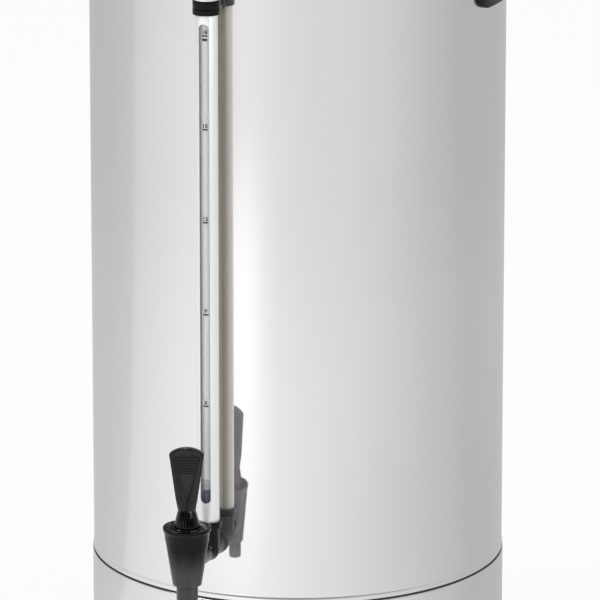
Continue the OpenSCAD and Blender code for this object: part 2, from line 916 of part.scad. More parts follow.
// The recess in the paddle's front, from y = 0 inwards, with sloping sides and the ribs on its floor
module thumb_recess() {
    difference() {
        translate([0, recess, 0])
            rotate([90, 0, 0]) linear_extrude(paddle_t) paddle_outline(border, recess_low);
        for (i = [0:ribs - 1])
            translate([-lever_w / 2, recess - rib_h, rib_top - i * rib_pitch])
                cube([lever_w, recess, rib_t]);
        for (side = [0, 1])
            mirror([side, 0, 0])
                translate([recess_low.x + recess_step, 0, recess_low.y])
                    rotate([0, recess_angle, 0]) rotate([0, 0, recess_slope])
                        translate([0, -lever_h, -lever_h]) cube(2 * lever_h);
    }
}

module tap_lever() {
    color("#1c1c1e")
    at_lever() translate([0, 0, lever_z])
        difference() {
            union() {
                cylinder(d1 = lever_foot_d, d2 = waist_w, h = waist_h);
                intersection() {
                    translate([0, paddle_t, 0])
                        rotate([90, 0, 0])
                            linear_extrude(2 * paddle_t) paddle_outline(0, [waist_w / 2, waist_h - 1]);
                    rotate([90, 0, 90])
                        linear_extrude(2 * lever_w, center = true)
                            polygon([
                                [-paddle_front, 0], [paddle_back, 0], [paddle_back, waist_h],
                                [paddle_tip, lever_h], [paddle_lean - paddle_front, lever_h],
                                [-paddle_front, waist_h]
                            ]);
                    union() {
                        translate([0, paddle_t, lever_h - crown_hub])
                            rotate([90, 0, 0]) cylinder(r = corner_r, h = 2 * paddle_t);
                        translate([-corner_r, -paddle_t, 0])
                            cube([2 * corner_r, 2 * paddle_t, lever_h - crown_hub]);
                    }
                    translate([0, 0, waist_h - 1])
                        cylinder(r1 = waist_w / 2, r2 = paddle_swell, h = lever_h - waist_h + 1);
                }
            }
            translate([0, -paddle_front, waist_h])
                rotate([-lean_angle, 0, 0]) translate([0, 0, -waist_h]) thumb_recess();
            translate([-eye_w / 2 - clear, -eye_front - clear, -1])
                cube([eye_w + 2 * clear, eye_front + cavity_back + clear, cavity_top + 1]);
            translate([-lever_foot_r, 0, pin_z])
                rotate([0, 90, 0]) cylinder(d = pin_d + 2 * fit, h = lever_foot_d);
        }
}

module lever_pin() {
    pin_l = lever_foot_d - 2;
    color("silver")
    at_lever() translate([-pin_l / 2, 0, lever_z + pin_z]) rotate([0, 90, 0]) cylinder(d = pin_d, h = pin_l);
}

module tap_stem() {
    eye_low = pin_z - pin_d / 2 - slack - eye_wall / 2;
    color("silver")
    at_lever()
        difference() {
            union() {
                translate([0, 0, seal_z + 2]) cylinder(d = stem_d, h = lever_z + eye_low - seal_z - 1);
                translate([-eye_w / 2, -eye_front, lever_z + eye_low])
                    cube([eye_w, eye_front + eye_back, eye_top - eye_low]);
            }
            translate([-eye_w, -pin_shift - pin_d / 2 - slack, lever_z + pin_z - pin_d / 2 - slack])
                cube([2 * eye_w, pin_shift + pin_d + 2 * slack, pin_d + 2 * slack]);
        }
}

module tap_seal() {
    color("#dedcd6")
    at_tap()
        difference() {
            translate([0, 0, seal_z]) cylinder(d1 = seal_d, d2 = seal_d - 2, h = seal_h);
            translate([0, 0, seal_z + 2]) cylinder(d = stem_d + 2 * fit, h = seal_h);
        }
}

// One point of the spring wire's skin: i counts rings along the coil, k the sides of the wire
function coil_point(i, k, h) =
    let (
        a = 360 * i / coil_steps,
        side = 360 * k / coil_sides,
        r = spring_r + wire_d / 2 * cos(side)
    )
    [r * cos(a), r * sin(a), h * i / (spring_coils * coil_steps) + wire_d / 2 * sin(side)];

module tap_spring() {
    low = seal_z + seal_h + wire_d / 2 + fit;
    high = tap_top_z - bonnet_cap - wire_d / 2 - fit;
    rings = spring_coils * coil_steps;
    last = rings * coil_sides;
    color("silver")
    at_tap() translate([0, 0, low])
        polyhedron(
            points = [for (i = [0:rings], k = [0:coil_sides - 1]) coil_point(i, k, high - low)],
            faces = concat(
                [for (k = [1:coil_sides - 2]) [0, k, k + 1]],
                [for (k = [1:coil_sides - 2]) [last, last + k + 1, last + k]],
                [
                    for (i = [0:rings - 1], k = [0:coil_sides - 1], half = [0, 1])
                        let (
                            a = i * coil_sides + k,
                            b = i * coil_sides + (k + 1) % coil_sides
                        )
                        half == 0 ? [a, b + coil_sides, b] : [a, a + coil_sides, b + coil_sides]
                ]
            )
        );
}

module switch_frame() {
    color("#202022")
    on_band(switch_at, control_z)
        difference() {
            union() {
                slab(frame_w, frame_h, -frame_t - clear, -clear);
                slab(barrel_w, barrel_h, -clear - fit, barrel_l);
                for (x = [-tab_pitch, 0, tab_pitch])
                    translate([x, 0, 0]) slab(tab.x, tab.z, barrel_l - 1, barrel_l + tab.y);
            }
            slab(rocker_w + 2 * clear, rocker_h + 2 * clear, -frame_t - 1, well_depth);
            translate([-rocker_w / 2 - trunnion_l - fit, rocker_in, 0])
                rotate([0, 90, 0]) cylinder(d = trunnion_d + 2 * fit, h = rocker_w + 2 * trunnion_l + 2 * fit);
        }
}

module switch_rocker() {
    color("#c8141c")
    on_band(switch_at, control_z) translate([0, rocker_in, 0]) rotate([rocker_tilt, 0, 0]) {
        rotate([90, 0, 90])
            linear_extrude(rocker_w, center = true)
                polygon([
                    [rocker_back, -rocker_h / 3], [rocker_back, rocker_h / 3], [0, rocker_h / 2 - clear],
                    [-rocker_out - rocker_in, rocker_h / 2 - clear], [-rocker_out - rocker_in + rocker_dip, 0],
                    [-rocker_out - rocker_in, clear - rocker_h / 2], [0, clear - rocker_h / 2]
                ]);
        translate([-rocker_w / 2 - trunnion_l, 0, 0])
            rotate([0, 90, 0]) cylinder(d = trunnion_d, h = rocker_w + 2 * trunnion_l);
    }
}

// A pilot lamp: flange, barrel behind the band and a low domed lens
module pilot_lamp(z) {
    lens_r = (pow(lamp_d / 2 - 1, 2) + lamp_dome * lamp_dome) / (2 * lamp_dome);
    on_band(lamp_at, z) {
        bar_y(lamp_d, -lamp_flange - clear, -clear);
        bar_y(lamp_barrel, -clear - fit, lamp_l);
        intersection() {
            translate([0, lens_r - lamp_dome - lamp_flange - clear, 0]) sphere(r = lens_r);
            bar_y(lamp_d, -lamp_dome - lamp_flange - 1, -lamp_flange);
        }
    }
}

module heat_lamp() {
    color("#e06a10") pilot_lamp(control_z + lamp_pitch / 2);
}

module ready_lamp() {
    color("#2f9a3c") pilot_lamp(control_z - lamp_pitch / 2);
}

module thermostat() {
    color("dimgray")
    on_band(dial_at, control_z)
        difference() {
            union() {
                slab(stat_w, stat_h, stat_y, stat_y + stat_l);
                bar_y(bush_d, -dial_nut_h - clear - 1, stat_y + 1);
                for (x = [-stat_tab_at, stat_tab_at])
                    translate([x, 0, 0]) slab(tab.x, tab.z, stat_y + stat_l - 1, stat_y + stat_l + tab.y);
            }
            bar_y(shaft_d + 2 * fit, -dial_h, stat_y + stat_l / 2);
        }
}

module thermostat_nut() {
    color("silver")
    on_band(dial_at, control_z)
        difference() {
            translate([0, -clear, 0]) rotate([90, 0, 0]) cylinder(d = dial_nut_d, h = dial_nut_h, $fn = 6);
            bar_y(bush_d + 2 * fit, -dial_nut_h - 1, 1);
        }
}

module thermostat_shaft() {
    color("silver")
    on_band(dial_at, control_z) bar_y(shaft_d, -dial_h + 2, stat_y + stat_l / 2 - clear);
}

module thermostat_knob() {
    stand = 2 * clear;
    color("#202022")
    on_band(dial_at, control_z)
        difference() {
            union() {
                bar_y(dial_d, -dial_skirt - stand, -stand);
                translate([0, -dial_skirt - stand, 0]) rotate([90, 0, 0])
                    cylinder(d1 = dial_grip_d, d2 = dial_top_d, h = dial_h - dial_skirt);
                translate([0, 0, pointer.y / 2 + pointer.x])
                    slab(pointer.x, pointer.y, -dial_h - stand - pointer.z, -dial_skirt);
            }
            bar_y(dial_nut_d + 4 * clear, -dial_recess - stand, 0);
            bar_y(shaft_d + 2 * fit, -dial_h + 2 - clear, 0);
        }
}

module heating_element() {
    color("#8c8a86") {
        translate([0, 0, heater_z])
            difference() {
                rotate_extrude() translate([heater_d / 2, 0]) circle(d = rod_d, $fn = 24);
                translate([0, 0, -rod_d])
                    linear_extrude(2 * rod_d)
                        polygon([
                            [0, 0], [heater_d * sin(heater_open / 2), heater_d * cos(heater_open / 2)],
                            [-heater_d * sin(heater_open / 2), heater_d * cos(heater_open / 2)]
                        ]);
            }
        heater_leg_places() {
            translate([0, 0, heater_z]) sphere(d = rod_d);
            translate([0, 0, floor_z - heater_leg]) cylinder(d = rod_d, h = heater_z - floor_z + heater_leg);
            translate([-tab.z / 2, -tab.x / 2, floor_z - heater_leg - tab.y]) cube([tab.z, tab.x, tab.y + 1]);
        }
    }
}

module element_seals() {
    color("#dedcd6")
    heater_leg_places() tube(collar_d, rod_d + 2 * fit, floor_z, collar_h);
}

module element_nuts() {
    color("silver")
    heater_leg_places() translate([0, 0, floor_z - sheet - hex_h])
        difference() {
            cylinder(d = collar_d, h = hex_h, $fn = 6);
            translate([0, 0, -1]) cylinder(d = rod_d + 2 * fit, h = hex_h + 2);
        }
}

module thermal_cutout() {
    color("#4a3a30")
    translate([0, 0, floor_z - sheet - cutout_h]) {
        translate([0, 0, cutout_h - 2]) cylinder(d = cutout_d, h = 2);
        cylinder(d = cutout_d * 0.7, h = cutout_h - 1);
        for (x = [-tab_pitch, tab_pitch])
            translate([x - tab.x / 2, -tab.z / 2, -tab.y]) cube([tab.x, tab.z, tab.y + 1]);
    }
}

module power_inlet() {
    color("#202022")
    on_band(180, control_z)
        difference() {
            union() {
                slab(inlet_w, inlet_h, -inlet_t - clear, -clear);
                slab(inlet_body_w, inlet_body_h, -clear - fit, inlet_l);
            }
            slab(socket_w, socket_high, -inlet_t - 1, socket_depth - inlet_t);
            for (x = [-pin_pitch, 0, pin_pitch])
                translate([x, 0, 0]) slab(inlet_pin.x + 2 * fit, inlet_pin.y + 2 * fit, 0, inlet_l + 1);
        }
}

module inlet_pins() {
    color("silver")
    on_band(180, control_z)
        for (x = [-pin_pitch, 0, pin_pitch])
            translate([x, 0, 0])
                slab(inlet_pin.x, inlet_pin.y, socket_depth - inlet_t - pin_length, inlet_l + tab.y);
}

module terminal_block() {
    color("ivory")
    translate([-block.x / 2, block.y, deck_z])
        difference() {
            cube(block);
            for (i = [0:poles - 1])
                translate([block.x / 2 - pole.x / 2 + (i - (poles - 1) / 2) * pole.y, -1, pole.x])
                    cube([pole.x, block.y + 2, block.z]);
        }
}

outer_body();
inner_tank();
tank_floor();
tank_rim();
base_band();
seam_seal();
bottom_plate();
foot_ring();
support_posts();
base_screws();
lid();
lid_skirt();
lid_knob();
lid_screw();
handle_left();
handle_right();
handle_screws();
guard_tube();
gauge_glass();
gauge_sleeve();
gauge_seal();
gauge_float();
gauge_head();
gauge_cap();
column_screw();
tap_tee();
shank();
shank_gasket();
shank_spacer();
tank_gasket();
shank_nut();
tap_body();
tap_bonnet();
tap_lever();
lever_pin();
tap_stem();
tap_seal();
tap_spring();
switch_frame();
switch_rocker();
heat_lamp();
ready_lamp();
thermostat();
thermostat_nut();
thermostat_shaft();
thermostat_knob();
heating_element();
element_seals();
element_nuts();
thermal_cutout();
power_inlet();
inlet_pins();
terminal_block();
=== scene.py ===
# %% [markdown]
# # A hot water urn
# The urn is a polished steel body on a base band, with a sight gauge column and a black lever tap.
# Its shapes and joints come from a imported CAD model, which is loaded first and stays where it is.
# This lesson gives it rounded edges, finishes, gauge marks, light and a camera.

# %% Load the frame
import json
import math

import bpy
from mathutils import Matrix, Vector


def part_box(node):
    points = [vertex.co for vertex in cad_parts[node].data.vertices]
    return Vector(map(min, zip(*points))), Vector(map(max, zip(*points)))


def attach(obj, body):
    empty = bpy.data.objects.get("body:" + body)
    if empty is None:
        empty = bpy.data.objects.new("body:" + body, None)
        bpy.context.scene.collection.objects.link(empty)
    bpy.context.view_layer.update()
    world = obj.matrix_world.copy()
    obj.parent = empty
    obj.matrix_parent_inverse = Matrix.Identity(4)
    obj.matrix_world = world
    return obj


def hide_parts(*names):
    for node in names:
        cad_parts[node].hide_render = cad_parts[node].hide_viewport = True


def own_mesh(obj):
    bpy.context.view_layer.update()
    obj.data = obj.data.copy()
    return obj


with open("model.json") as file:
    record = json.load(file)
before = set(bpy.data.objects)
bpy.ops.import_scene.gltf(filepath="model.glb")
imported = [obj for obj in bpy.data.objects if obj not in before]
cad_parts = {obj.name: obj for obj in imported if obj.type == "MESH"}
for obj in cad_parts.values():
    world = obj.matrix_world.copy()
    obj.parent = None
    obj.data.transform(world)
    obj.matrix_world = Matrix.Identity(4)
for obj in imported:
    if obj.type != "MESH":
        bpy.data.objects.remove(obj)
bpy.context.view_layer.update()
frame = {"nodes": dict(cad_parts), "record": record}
MM = 0.001

# %% [markdown]
# ## Camera
# The picture was taken from far away with a long lens, a little above the rim and looking down.
# A camera can be placed by eye or worked out from the ellipse of the seam at the foot of the body.
# The ellipse was used: it gives the height, the distance and the tilt, and no lens shift is needed.

# %% Place the camera
LENS = 365.6
SENSOR = 36
TURN = math.radians(22.3)
TILT = math.radians(74.68)
DISTANCE = 3.8569
HEIGHT = 1.3115
SIDE = 0.0014
FAR = 100
bpy.ops.object.select_all(action="DESELECT")
bpy.ops.object.camera_add(
    location=(
        SIDE * math.cos(TURN) + DISTANCE * math.sin(TURN),
        SIDE * math.sin(TURN) - DISTANCE * math.cos(TURN),
        HEIGHT,
    ),
    rotation=(TILT, 0, TURN),
)
camera = bpy.context.object
camera.name = "camera"
camera.data.lens = LENS
camera.data.sensor_width = SENSOR
camera.data.clip_end = FAR
bpy.context.scene.camera = camera
print("camera at", [round(v, 3) for v in camera.location])

# %% [markdown]
# ## Shader maths in plain expressions
# A finish is a small network of nodes. Wiring each Math node by hand hides what is worked out.
# A wrapper round a socket lets a line of Python, such as 0.2 + 0.1 * grain, add the nodes itself.


# %% The wrapper
class Wire:
    """One output socket. Arithmetic on it adds Math nodes to its tree."""

    def __init__(self, tree, socket=None):
        self.tree = tree
        self.socket = socket

    def node(self, kind, settings=None, inputs=None, output=0):
        """Adds a node: its settings first, then the values or links of its sockets."""
        made = self.tree.nodes.new(kind)
        for name, value in (settings or {}).items():
            if name == "stops":
                ramp = made.color_ramp
                while len(ramp.elements) < len(value):
                    ramp.elements.new(0.5)
                for element, (place, colour) in zip(ramp.elements, value):
                    element.position = place
                    element.color = (*colour, 1)
            else:
                setattr(made, name, value)
        for name, value in (inputs or {}).items():
            if isinstance(value, Wire):
                self.tree.links.new(value.socket, made.inputs[name])
            else:
                made.inputs[name].default_value = value
        return Wire(self.tree, made.outputs[output] if made.outputs else None)

    def math(self, operation, a, b=0.0):
        return self.node("ShaderNodeMath", {"operation": operation}, {0: a, 1: b})

    def __add__(self, other):
        return self.math("ADD", self, other)

    __radd__ = __add__

    def __sub__(self, other):
        return self.math("SUBTRACT", self, other)

    def __rsub__(self, other):
        return self.math("SUBTRACT", other, self)

    def __mul__(self, other):
        return self.math("MULTIPLY", self, other)

    __rmul__ = __mul__

    def __truediv__(self, other):
        return self.math("DIVIDE", self, other)


print("shader wrapper ready")

# %% [markdown]
# A few pieces come up in every finish: the place on the object, noise, a smooth change between two places,
# a colour between two others, and the surface with its output.


# %% Pieces of a finish
def new_finish(name):
    """An empty material and the start of its wires."""
    material = bpy.data.materials.new(name)
    material.use_nodes = True
    material.node_tree.nodes.clear()
    return material, Wire(material.node_tree)


def place_of(wires, scale=(1, 1, 1)):
    """The place on the object, in metres, stretched by a scale."""
    where = wires.node("ShaderNodeTexCoord", output="Object")
    return wires.node("ShaderNodeMapping", {}, {"Vector": where, "Scale": scale})


def coordinate(wires, axis):
    """One coordinate of the place on the object, in metres."""
    where = wires.node("ShaderNodeTexCoord", output="Object")
    return wires.node("ShaderNodeSeparateXYZ", {}, {"Vector": where}, axis)


def noise(wires, vector, scale, detail=3.0):
    return wires.node("ShaderNodeTexNoise", {}, {"Vector": vector, "Scale": scale, "Detail": detail}, "Fac")


def fading(wires, value, start, end, first=0.0, last=1.0):
    """A smooth change from a first level to a last one, while a value goes from start to end."""
    return wires.node(
        "ShaderNodeMapRange",
        {"interpolation_type": "SMOOTHSTEP"},
        {"Value": value, "From Min": start, "From Max": end, "To Min": first, "To Max": last},
    )


def grey(level):
    return (level, level, level)


def blend(wires, factor, dark, light):
    """A colour between two colours."""
    return wires.node(
        "ShaderNodeMix", {"data_type": "RGBA"}, {0: factor, 6: (*dark, 1), 7: (*light, 1)}, 2
    )


def finish_with(wires, constants, varied):
    """The surface itself: plain numbers on its sockets, and wires where it changes."""
    shader = wires.node("ShaderNodeBsdfPrincipled", {}, {**constants, **varied})
    wires.node("ShaderNodeOutputMaterial", {}, {"Surface": shader})


print("pieces of a finish ready")

# %% [markdown]
# ## Metal finishes
# The body is polished stainless sheet: a fairly sharp mirror with a haze over it from fine polishing marks.
# The tank is plain rolled sheet, and the lid is rubbed to a satin face, which hides fingermarks.
# The plain metals are one network with other numbers: streaks along the way the metal was worked.
# The mirror mixes such a metal, nearly smooth, with a rougher gloss, because one roughness can't be sharp and hazy
# at once. The rough one falls off fast to the sides, so a black thing close to the body still looks black in it.


# %% Metals
METAL_CLOUDS = 14.0


def metal_surface(wires, dark, light, roughness, spread, stretch, streaks):
    """A metal whose streaks change its colour and its gloss."""
    grain = noise(wires, place_of(wires, stretch), streaks)
    cloud = noise(wires, place_of(wires), METAL_CLOUDS)
    return wires.node(
        "ShaderNodeBsdfPrincipled",
        {},
        {
            "Metallic": 1.0,
            "Base Color": blend(wires, cloud * 0.5 + grain * 0.5, dark, light),
            "Roughness": roughness - spread / 2 + spread * grain,
        },
    )


def metal(name, **look):
    material, wires = new_finish(name)
    wires.node("ShaderNodeOutputMaterial", {}, {"Surface": metal_surface(wires, **look)})
    return material


HAZE = 0.20
UNEVEN = 0.04
POLISHING = {"stretch": (1, 1, 30), "streaks": 40.0}
polished_steel, wires = new_finish("polished_steel")
mirror = metal_surface(
    wires, dark=(0.83, 0.825, 0.82), light=(0.89, 0.885, 0.88), roughness=0.05, spread=0.03, **POLISHING
)
grain = noise(wires, place_of(wires, POLISHING["stretch"]), POLISHING["streaks"])
haze = wires.node(
    "ShaderNodeBsdfAnisotropic",
    {"distribution": "BECKMANN"},
    {"Color": (0.86, 0.855, 0.85, 1), "Roughness": 0.44 + 0.06 * grain},
)
wear = noise(wires, place_of(wires), 9.0)
both = wires.node("ShaderNodeMixShader", {}, {0: HAZE - UNEVEN / 2 + UNEVEN * wear, 1: mirror, 2: haze})
wires.node("ShaderNodeOutputMaterial", {}, {"Surface": both})
tank_steel = metal(
    "tank_steel",
    dark=grey(0.60), light=grey(0.72), roughness=0.30, spread=0.12, stretch=(1, 1, 12), streaks=60.0,
)
lid_steel = metal(
    "lid_steel",
    dark=(0.52, 0.52, 0.515), light=(0.60, 0.60, 0.595),
    roughness=0.45, spread=0.08, stretch=(1, 1, 1), streaks=260.0,
)
satin_aluminium = metal(
    "satin_aluminium",
    dark=(0.84, 0.84, 0.85), light=(0.92, 0.92, 0.93),
    roughness=0.34, spread=0.10, stretch=(40, 40, 1), streaks=60.0,
)
element_steel = metal(
    "element_steel",
    dark=(0.20, 0.18, 0.17), light=(0.42, 0.39, 0.36),
    roughness=0.42, spread=0.2, stretch=(1, 1, 1), streaks=90.0,
)
for made in (polished_steel, tank_steel, lid_steel, satin_aluminium, element_steel):
    print("metal:", made.name)

# %% [markdown]
# The guard tube is drawn aluminium with a satin skin. Its colour is painted light in front and painted brownish
# shade at the back, which faces the body. So its colour goes by the depth through the tube, a little unevenly.

# %% Guard tube, with painted light and shade
GUARD = (0.0, -150.4)
GUARD_R = 7.15
LIT_FRONT = (0.97, 0.97, 0.975)
LIT_SIDE = (0.95, 0.95, 0.955)
HALF_SHADE = (0.80, 0.79, 0.77)
PAINTED_SHADE = (0.70, 0.68, 0.64)
PAINTED_DEEP_SHADE = (0.47, 0.43, 0.38)
guard_painted_shade, wires = new_finish("guard_painted_shade")
drawn = noise(wires, place_of(wires, (40, 40, 1)), 60.0)
depth = (coordinate(wires, "Y") / MM - (GUARD[1] - GUARD_R)) / (2 * GUARD_R)
# Painted light in front and painted shade at the back, by the depth through the tube.
painted_shading = wires.node(
    "ShaderNodeValToRGB",
    {"stops": [(0.0, LIT_FRONT), (0.42, LIT_SIDE), (0.56, HALF_SHADE), (0.88, PAINTED_SHADE), (0.95, PAINTED_DEEP_SHADE), (1.0, PAINTED_DEEP_SHADE)]},
    {"Fac": depth - 0.02 + 0.04 * drawn},
)
finish_with(wires, {"Metallic": 0.55}, {"Base Color": painted_shading, "Roughness": 0.36 + 0.12 * drawn})
print("skin:", guard_painted_shade.name)

# %% [markdown]
# ## Plastics, rubber and silicone
# The tap, the handles and the knobs are black heat-resistant mouldings with a soft sheen.
# Moulded plastic is never quite even: the mould leaves a fine grain, seen as a slight bump and an uneven gloss.
# The inner seals are pale silicone; the foot ring, the seam and the outer gasket are matt black rubber.


# %% Mouldings
PLASTIC_CLOUDS = 35.0
GRAIN_DETAIL = 4.0
RELIEF = 0.2 * MM


def moulding(name, dark, light, roughness, spread=0.10, grain=900.0, bump=0.05, constants=None):
    material, wires = new_finish(name)
    height = noise(wires, place_of(wires), grain, GRAIN_DETAIL)
    cloud = noise(wires, place_of(wires), PLASTIC_CLOUDS)
    relief = wires.node("ShaderNodeBump", {}, {"Strength": bump, "Distance": RELIEF, "Height": height})
    finish_with(
        wires,
        constants or {},
        {
            "Base Color": blend(wires, cloud, dark, light),
            "Roughness": roughness - spread / 2 + spread * cloud,
            "Normal": relief,
        },
    )
    print("moulding:", name)
    return material


SHEEN = {"Specular IOR Level": 0.2}
black_plastic = moulding(
    "black_plastic", grey(0.002), grey(0.007), roughness=0.24, spread=0.12, grain=1800.0, bump=0.10, constants=SHEEN
)
gloss_black = moulding(
    "gloss_black", grey(0.001), grey(0.003), roughness=0.10, spread=0.06, grain=1500.0, bump=0.03, constants=SHEEN
)
foot_rubber = moulding(
    "foot_rubber", grey(0.016), (0.034, 0.034, 0.033), roughness=0.62, spread=0.15, grain=1200.0, bump=0.3
)
silicone = moulding("silicone", (0.74, 0.73, 0.69), (0.84, 0.83, 0.80), roughness=0.45, bump=0.1)
float_blue = moulding("float_blue", (0.003, 0.006, 0.045), (0.010, 0.025, 0.16), roughness=0.10, spread=0.05)
brown_plastic = moulding(
    "brown_plastic", (0.05, 0.03, 0.02), (0.11, 0.07, 0.05), roughness=0.5, spread=0.15, bump=0.2
)
ivory_plastic = moulding("ivory_plastic", (0.68, 0.65, 0.54), (0.80, 0.77, 0.68), roughness=0.4, bump=0.1)
switch_red = moulding("switch_red", (0.42, 0.006, 0.010), (0.60, 0.014, 0.016), roughness=0.2, spread=0.08)
lamp_amber = moulding("lamp_amber", (0.62, 0.13, 0.006), (0.82, 0.24, 0.02), roughness=0.15, spread=0.05)
lamp_green = moulding("lamp_green", (0.012, 0.22, 0.04), (0.03, 0.40, 0.08), roughness=0.15, spread=0.05)
gauge_ink = moulding("gauge_ink", (0.02, 0.02, 0.03), (0.05, 0.05, 0.06), roughness=0.5)

# %% [markdown]
# The tap has four finishes of its own. The cone came out of its mould lengthwise, which left fine upright streaks,
# and it is painted lighter towards the nozzle, as painted bounce light from the table.
# The lever is grained on its paddle, for the thumb, and polished on the foot that rocks on the bonnet.
# Cone, lever, tee and bonnet are painted grey at the back, which faces the body, as a painted sheen. It shows in the
# body's mirror. All of it is told by place alone: stretched noise for the streaks, the height for the painted bounce
# light and the gloss, and the depth, counted from the tap's axis towards the body, for the painted sheen.

# %% Painted sheen and streaks
TAP = (0.0, -185.0)
BLACK = grey(0.001)
GRAIN_AND_PAINTED_LIGHT_GREY = (0.180, 0.176, 0.190)


def film_behind(wires, start, end, turn=0.0):
    """Painted sheen: none in front, full behind, between two depths in mm."""
    sideways = coordinate(wires, "X") - TAP[0] * MM
    inwards = coordinate(wires, "Y") - TAP[1] * MM
    return fading(wires, inwards * math.cos(turn) - sideways * math.sin(turn), start * MM, end * MM)


def mould_streaks(wires):
    return noise(wires, place_of(wires, (30, 30, 1)), 14.0, 2.0)


def filmed_black(name, start, end, top, share):
    """A glossy black moulding with a share of painted sheen on its back, below a height in mm."""
    material, wires = new_finish(name)
    streak = mould_streaks(wires)
    below = fading(wires, coordinate(wires, "Z"), top * MM, (top - 1.0) * MM)
    # Painted sheen on the back, below a height, which the body's mirror shows.
    film_and_painted_sheen = film_behind(wires, start, end) * below
    finish_with(
        wires,
        SHEEN,
        {
            "Base Color": blend(wires, film_and_painted_sheen * share * (0.8 + 0.4 * streak), BLACK, GRAIN_AND_PAINTED_LIGHT_GREY),
            "Roughness": 0.07 + 0.05 * streak + 0.2 * film_and_painted_sheen,
        },
    )
    print("filmed:", name)
    return material


LEG_DEPTH = 34.6
LIP_Z = 143.0
BONNET_TOP = 153.2
tee_black = filmed_black("tee_black", LEG_DEPTH + 2.5, LEG_DEPTH + 5.5, LIP_Z, 0.3)
bonnet_black = filmed_black("bonnet_black", 4.0, 10.0, BONNET_TOP, 1.0)

# %% Cone and lever finishes
BOUNCE_FROM = 146.0
BOUNCE_TO = 126.0
STREAK_REACH = 12.0
streaked_black, wires = new_finish("streaked_black")
streak = mould_streaks(wires)
# Painted bounce light: lighter towards the nozzle, with a ragged edge along the streaks.
painted_bounce_light = fading(wires, coordinate(wires, "Z") + STREAK_REACH * MM * streak, BOUNCE_FROM * MM, BOUNCE_TO * MM)
# Painted sheen on the cone's back, from 3 to 14 mm behind its axis.
film_and_painted_sheen = film_behind(wires, 3.0, 9.0) * (1.0 - film_behind(wires, 12.0, 14.0))
painted_light = wires.math("MAXIMUM", painted_bounce_light * (0.16 + 0.29 * streak), film_and_painted_sheen * (0.8 + 0.4 * streak))
finish_with(
    wires,
    SHEEN,
    {"Base Color": blend(wires, painted_light, BLACK, GRAIN_AND_PAINTED_LIGHT_GREY), "Roughness": 0.10 + 0.26 * streak},
)
LEVER_TURN = math.radians(20)
GRAIN_FROM = 164.5
lever_black, wires = new_finish("lever_black")
grained = fading(wires, coordinate(wires, "Z"), (GRAIN_FROM - 0.5) * MM, (GRAIN_FROM + 0.5) * MM)
grit = grained * noise(wires, place_of(wires), 1500.0, GRAIN_DETAIL)
# Real grain on the paddle, and painted sheen on the lever's back.
grain_and_painted_sheen = wires.math("MAXIMUM", 0.15 * grit, film_behind(wires, 0.8, 2.6, LEVER_TURN))
finish_with(
    wires,
    {"Specular IOR Level": 0.36},
    {
        "Base Color": blend(wires, grain_and_painted_sheen, BLACK, GRAIN_AND_PAINTED_LIGHT_GREY),
        "Roughness": 0.09 + 0.20 * grained + 0.10 * grit,
        "Normal": wires.node("ShaderNodeBump", {}, {"Strength": 0.08, "Distance": RELIEF, "Height": grit}),
    },
)
print("tap finishes:", streaked_black.name, lever_black.name)

# %% [markdown]
# ## Glass
# The sight glass is a thin tube with an opal back, as on boiler gauges, so that the level reads well.
# Real refraction would keep the soft light out of the narrow slot, so the wall is partly see-through instead.
# A film of scale makes the front milky above the line where water always stands, and thinner below it.
# Where the float rests, it has rubbed the glass clean.

# %% Sight glass
WATER_LINE = 175.5
FLOAT_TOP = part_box("gauge_float")[1].z / MM
OPAL = 0.96
sight_glass, wires = new_finish("sight_glass")
film_and_painted_sheen = noise(wires, place_of(wires, (1, 1, 0.2)), 400.0)
back = fading(wires, coordinate(wires, "Y"), (GUARD[1] - 0.5) * MM, (GUARD[1] + 1.0) * MM)
scale = fading(wires, coordinate(wires, "Z"), (WATER_LINE - 0.3) * MM, (WATER_LINE + 0.3) * MM)
rubbed = fading(wires, coordinate(wires, "Z"), (FLOAT_TOP + 1.5) * MM, FLOAT_TOP * MM)
front = 0.28 + scale * 0.37 - rubbed * 0.24 + film_and_painted_sheen * 0.06
finish_with(
    wires,
    {"IOR": 1.47},
    {
        "Base Color": blend(wires, film_and_painted_sheen, (0.88, 0.89, 0.89), (0.95, 0.955, 0.955)),
        "Roughness": 0.05 + 0.08 * film_and_painted_sheen,
        "Alpha": front + back * (OPAL - front),
    },
)
print("glass:", sight_glass.name)

# %% [markdown]
# ## Working by hand, in code
# Round pieces are turned: a profile is drawn point by point and spun about its axis, as on a lathe.
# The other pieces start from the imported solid: a copy is merged, its flat faces are cleaned and its edges are
# rounded. Either way the new piece takes the node's place and rides on the node's body.


# %% Helpers for shaping
MERGE = 0.002 * MM
FLAT = math.radians(0.4)
SMOOTH = math.radians(32)


def only(obj):
    """Makes one object the only one selected."""
    bpy.ops.object.select_all(action="DESELECT")
    obj.select_set(True)
    bpy.context.view_layer.objects.active = obj


def edit_all(obj):
    only(obj)
    bpy.ops.object.mode_set(mode="EDIT")
    bpy.ops.mesh.select_all(action="SELECT")


def apply_modifier(obj, kind, **settings):
    only(obj)
    modifier = obj.modifiers.new(kind.lower(), kind)
    for name, value in settings.items():
        setattr(modifier, name, value)
    bpy.ops.object.modifier_apply(modifier=modifier.name)


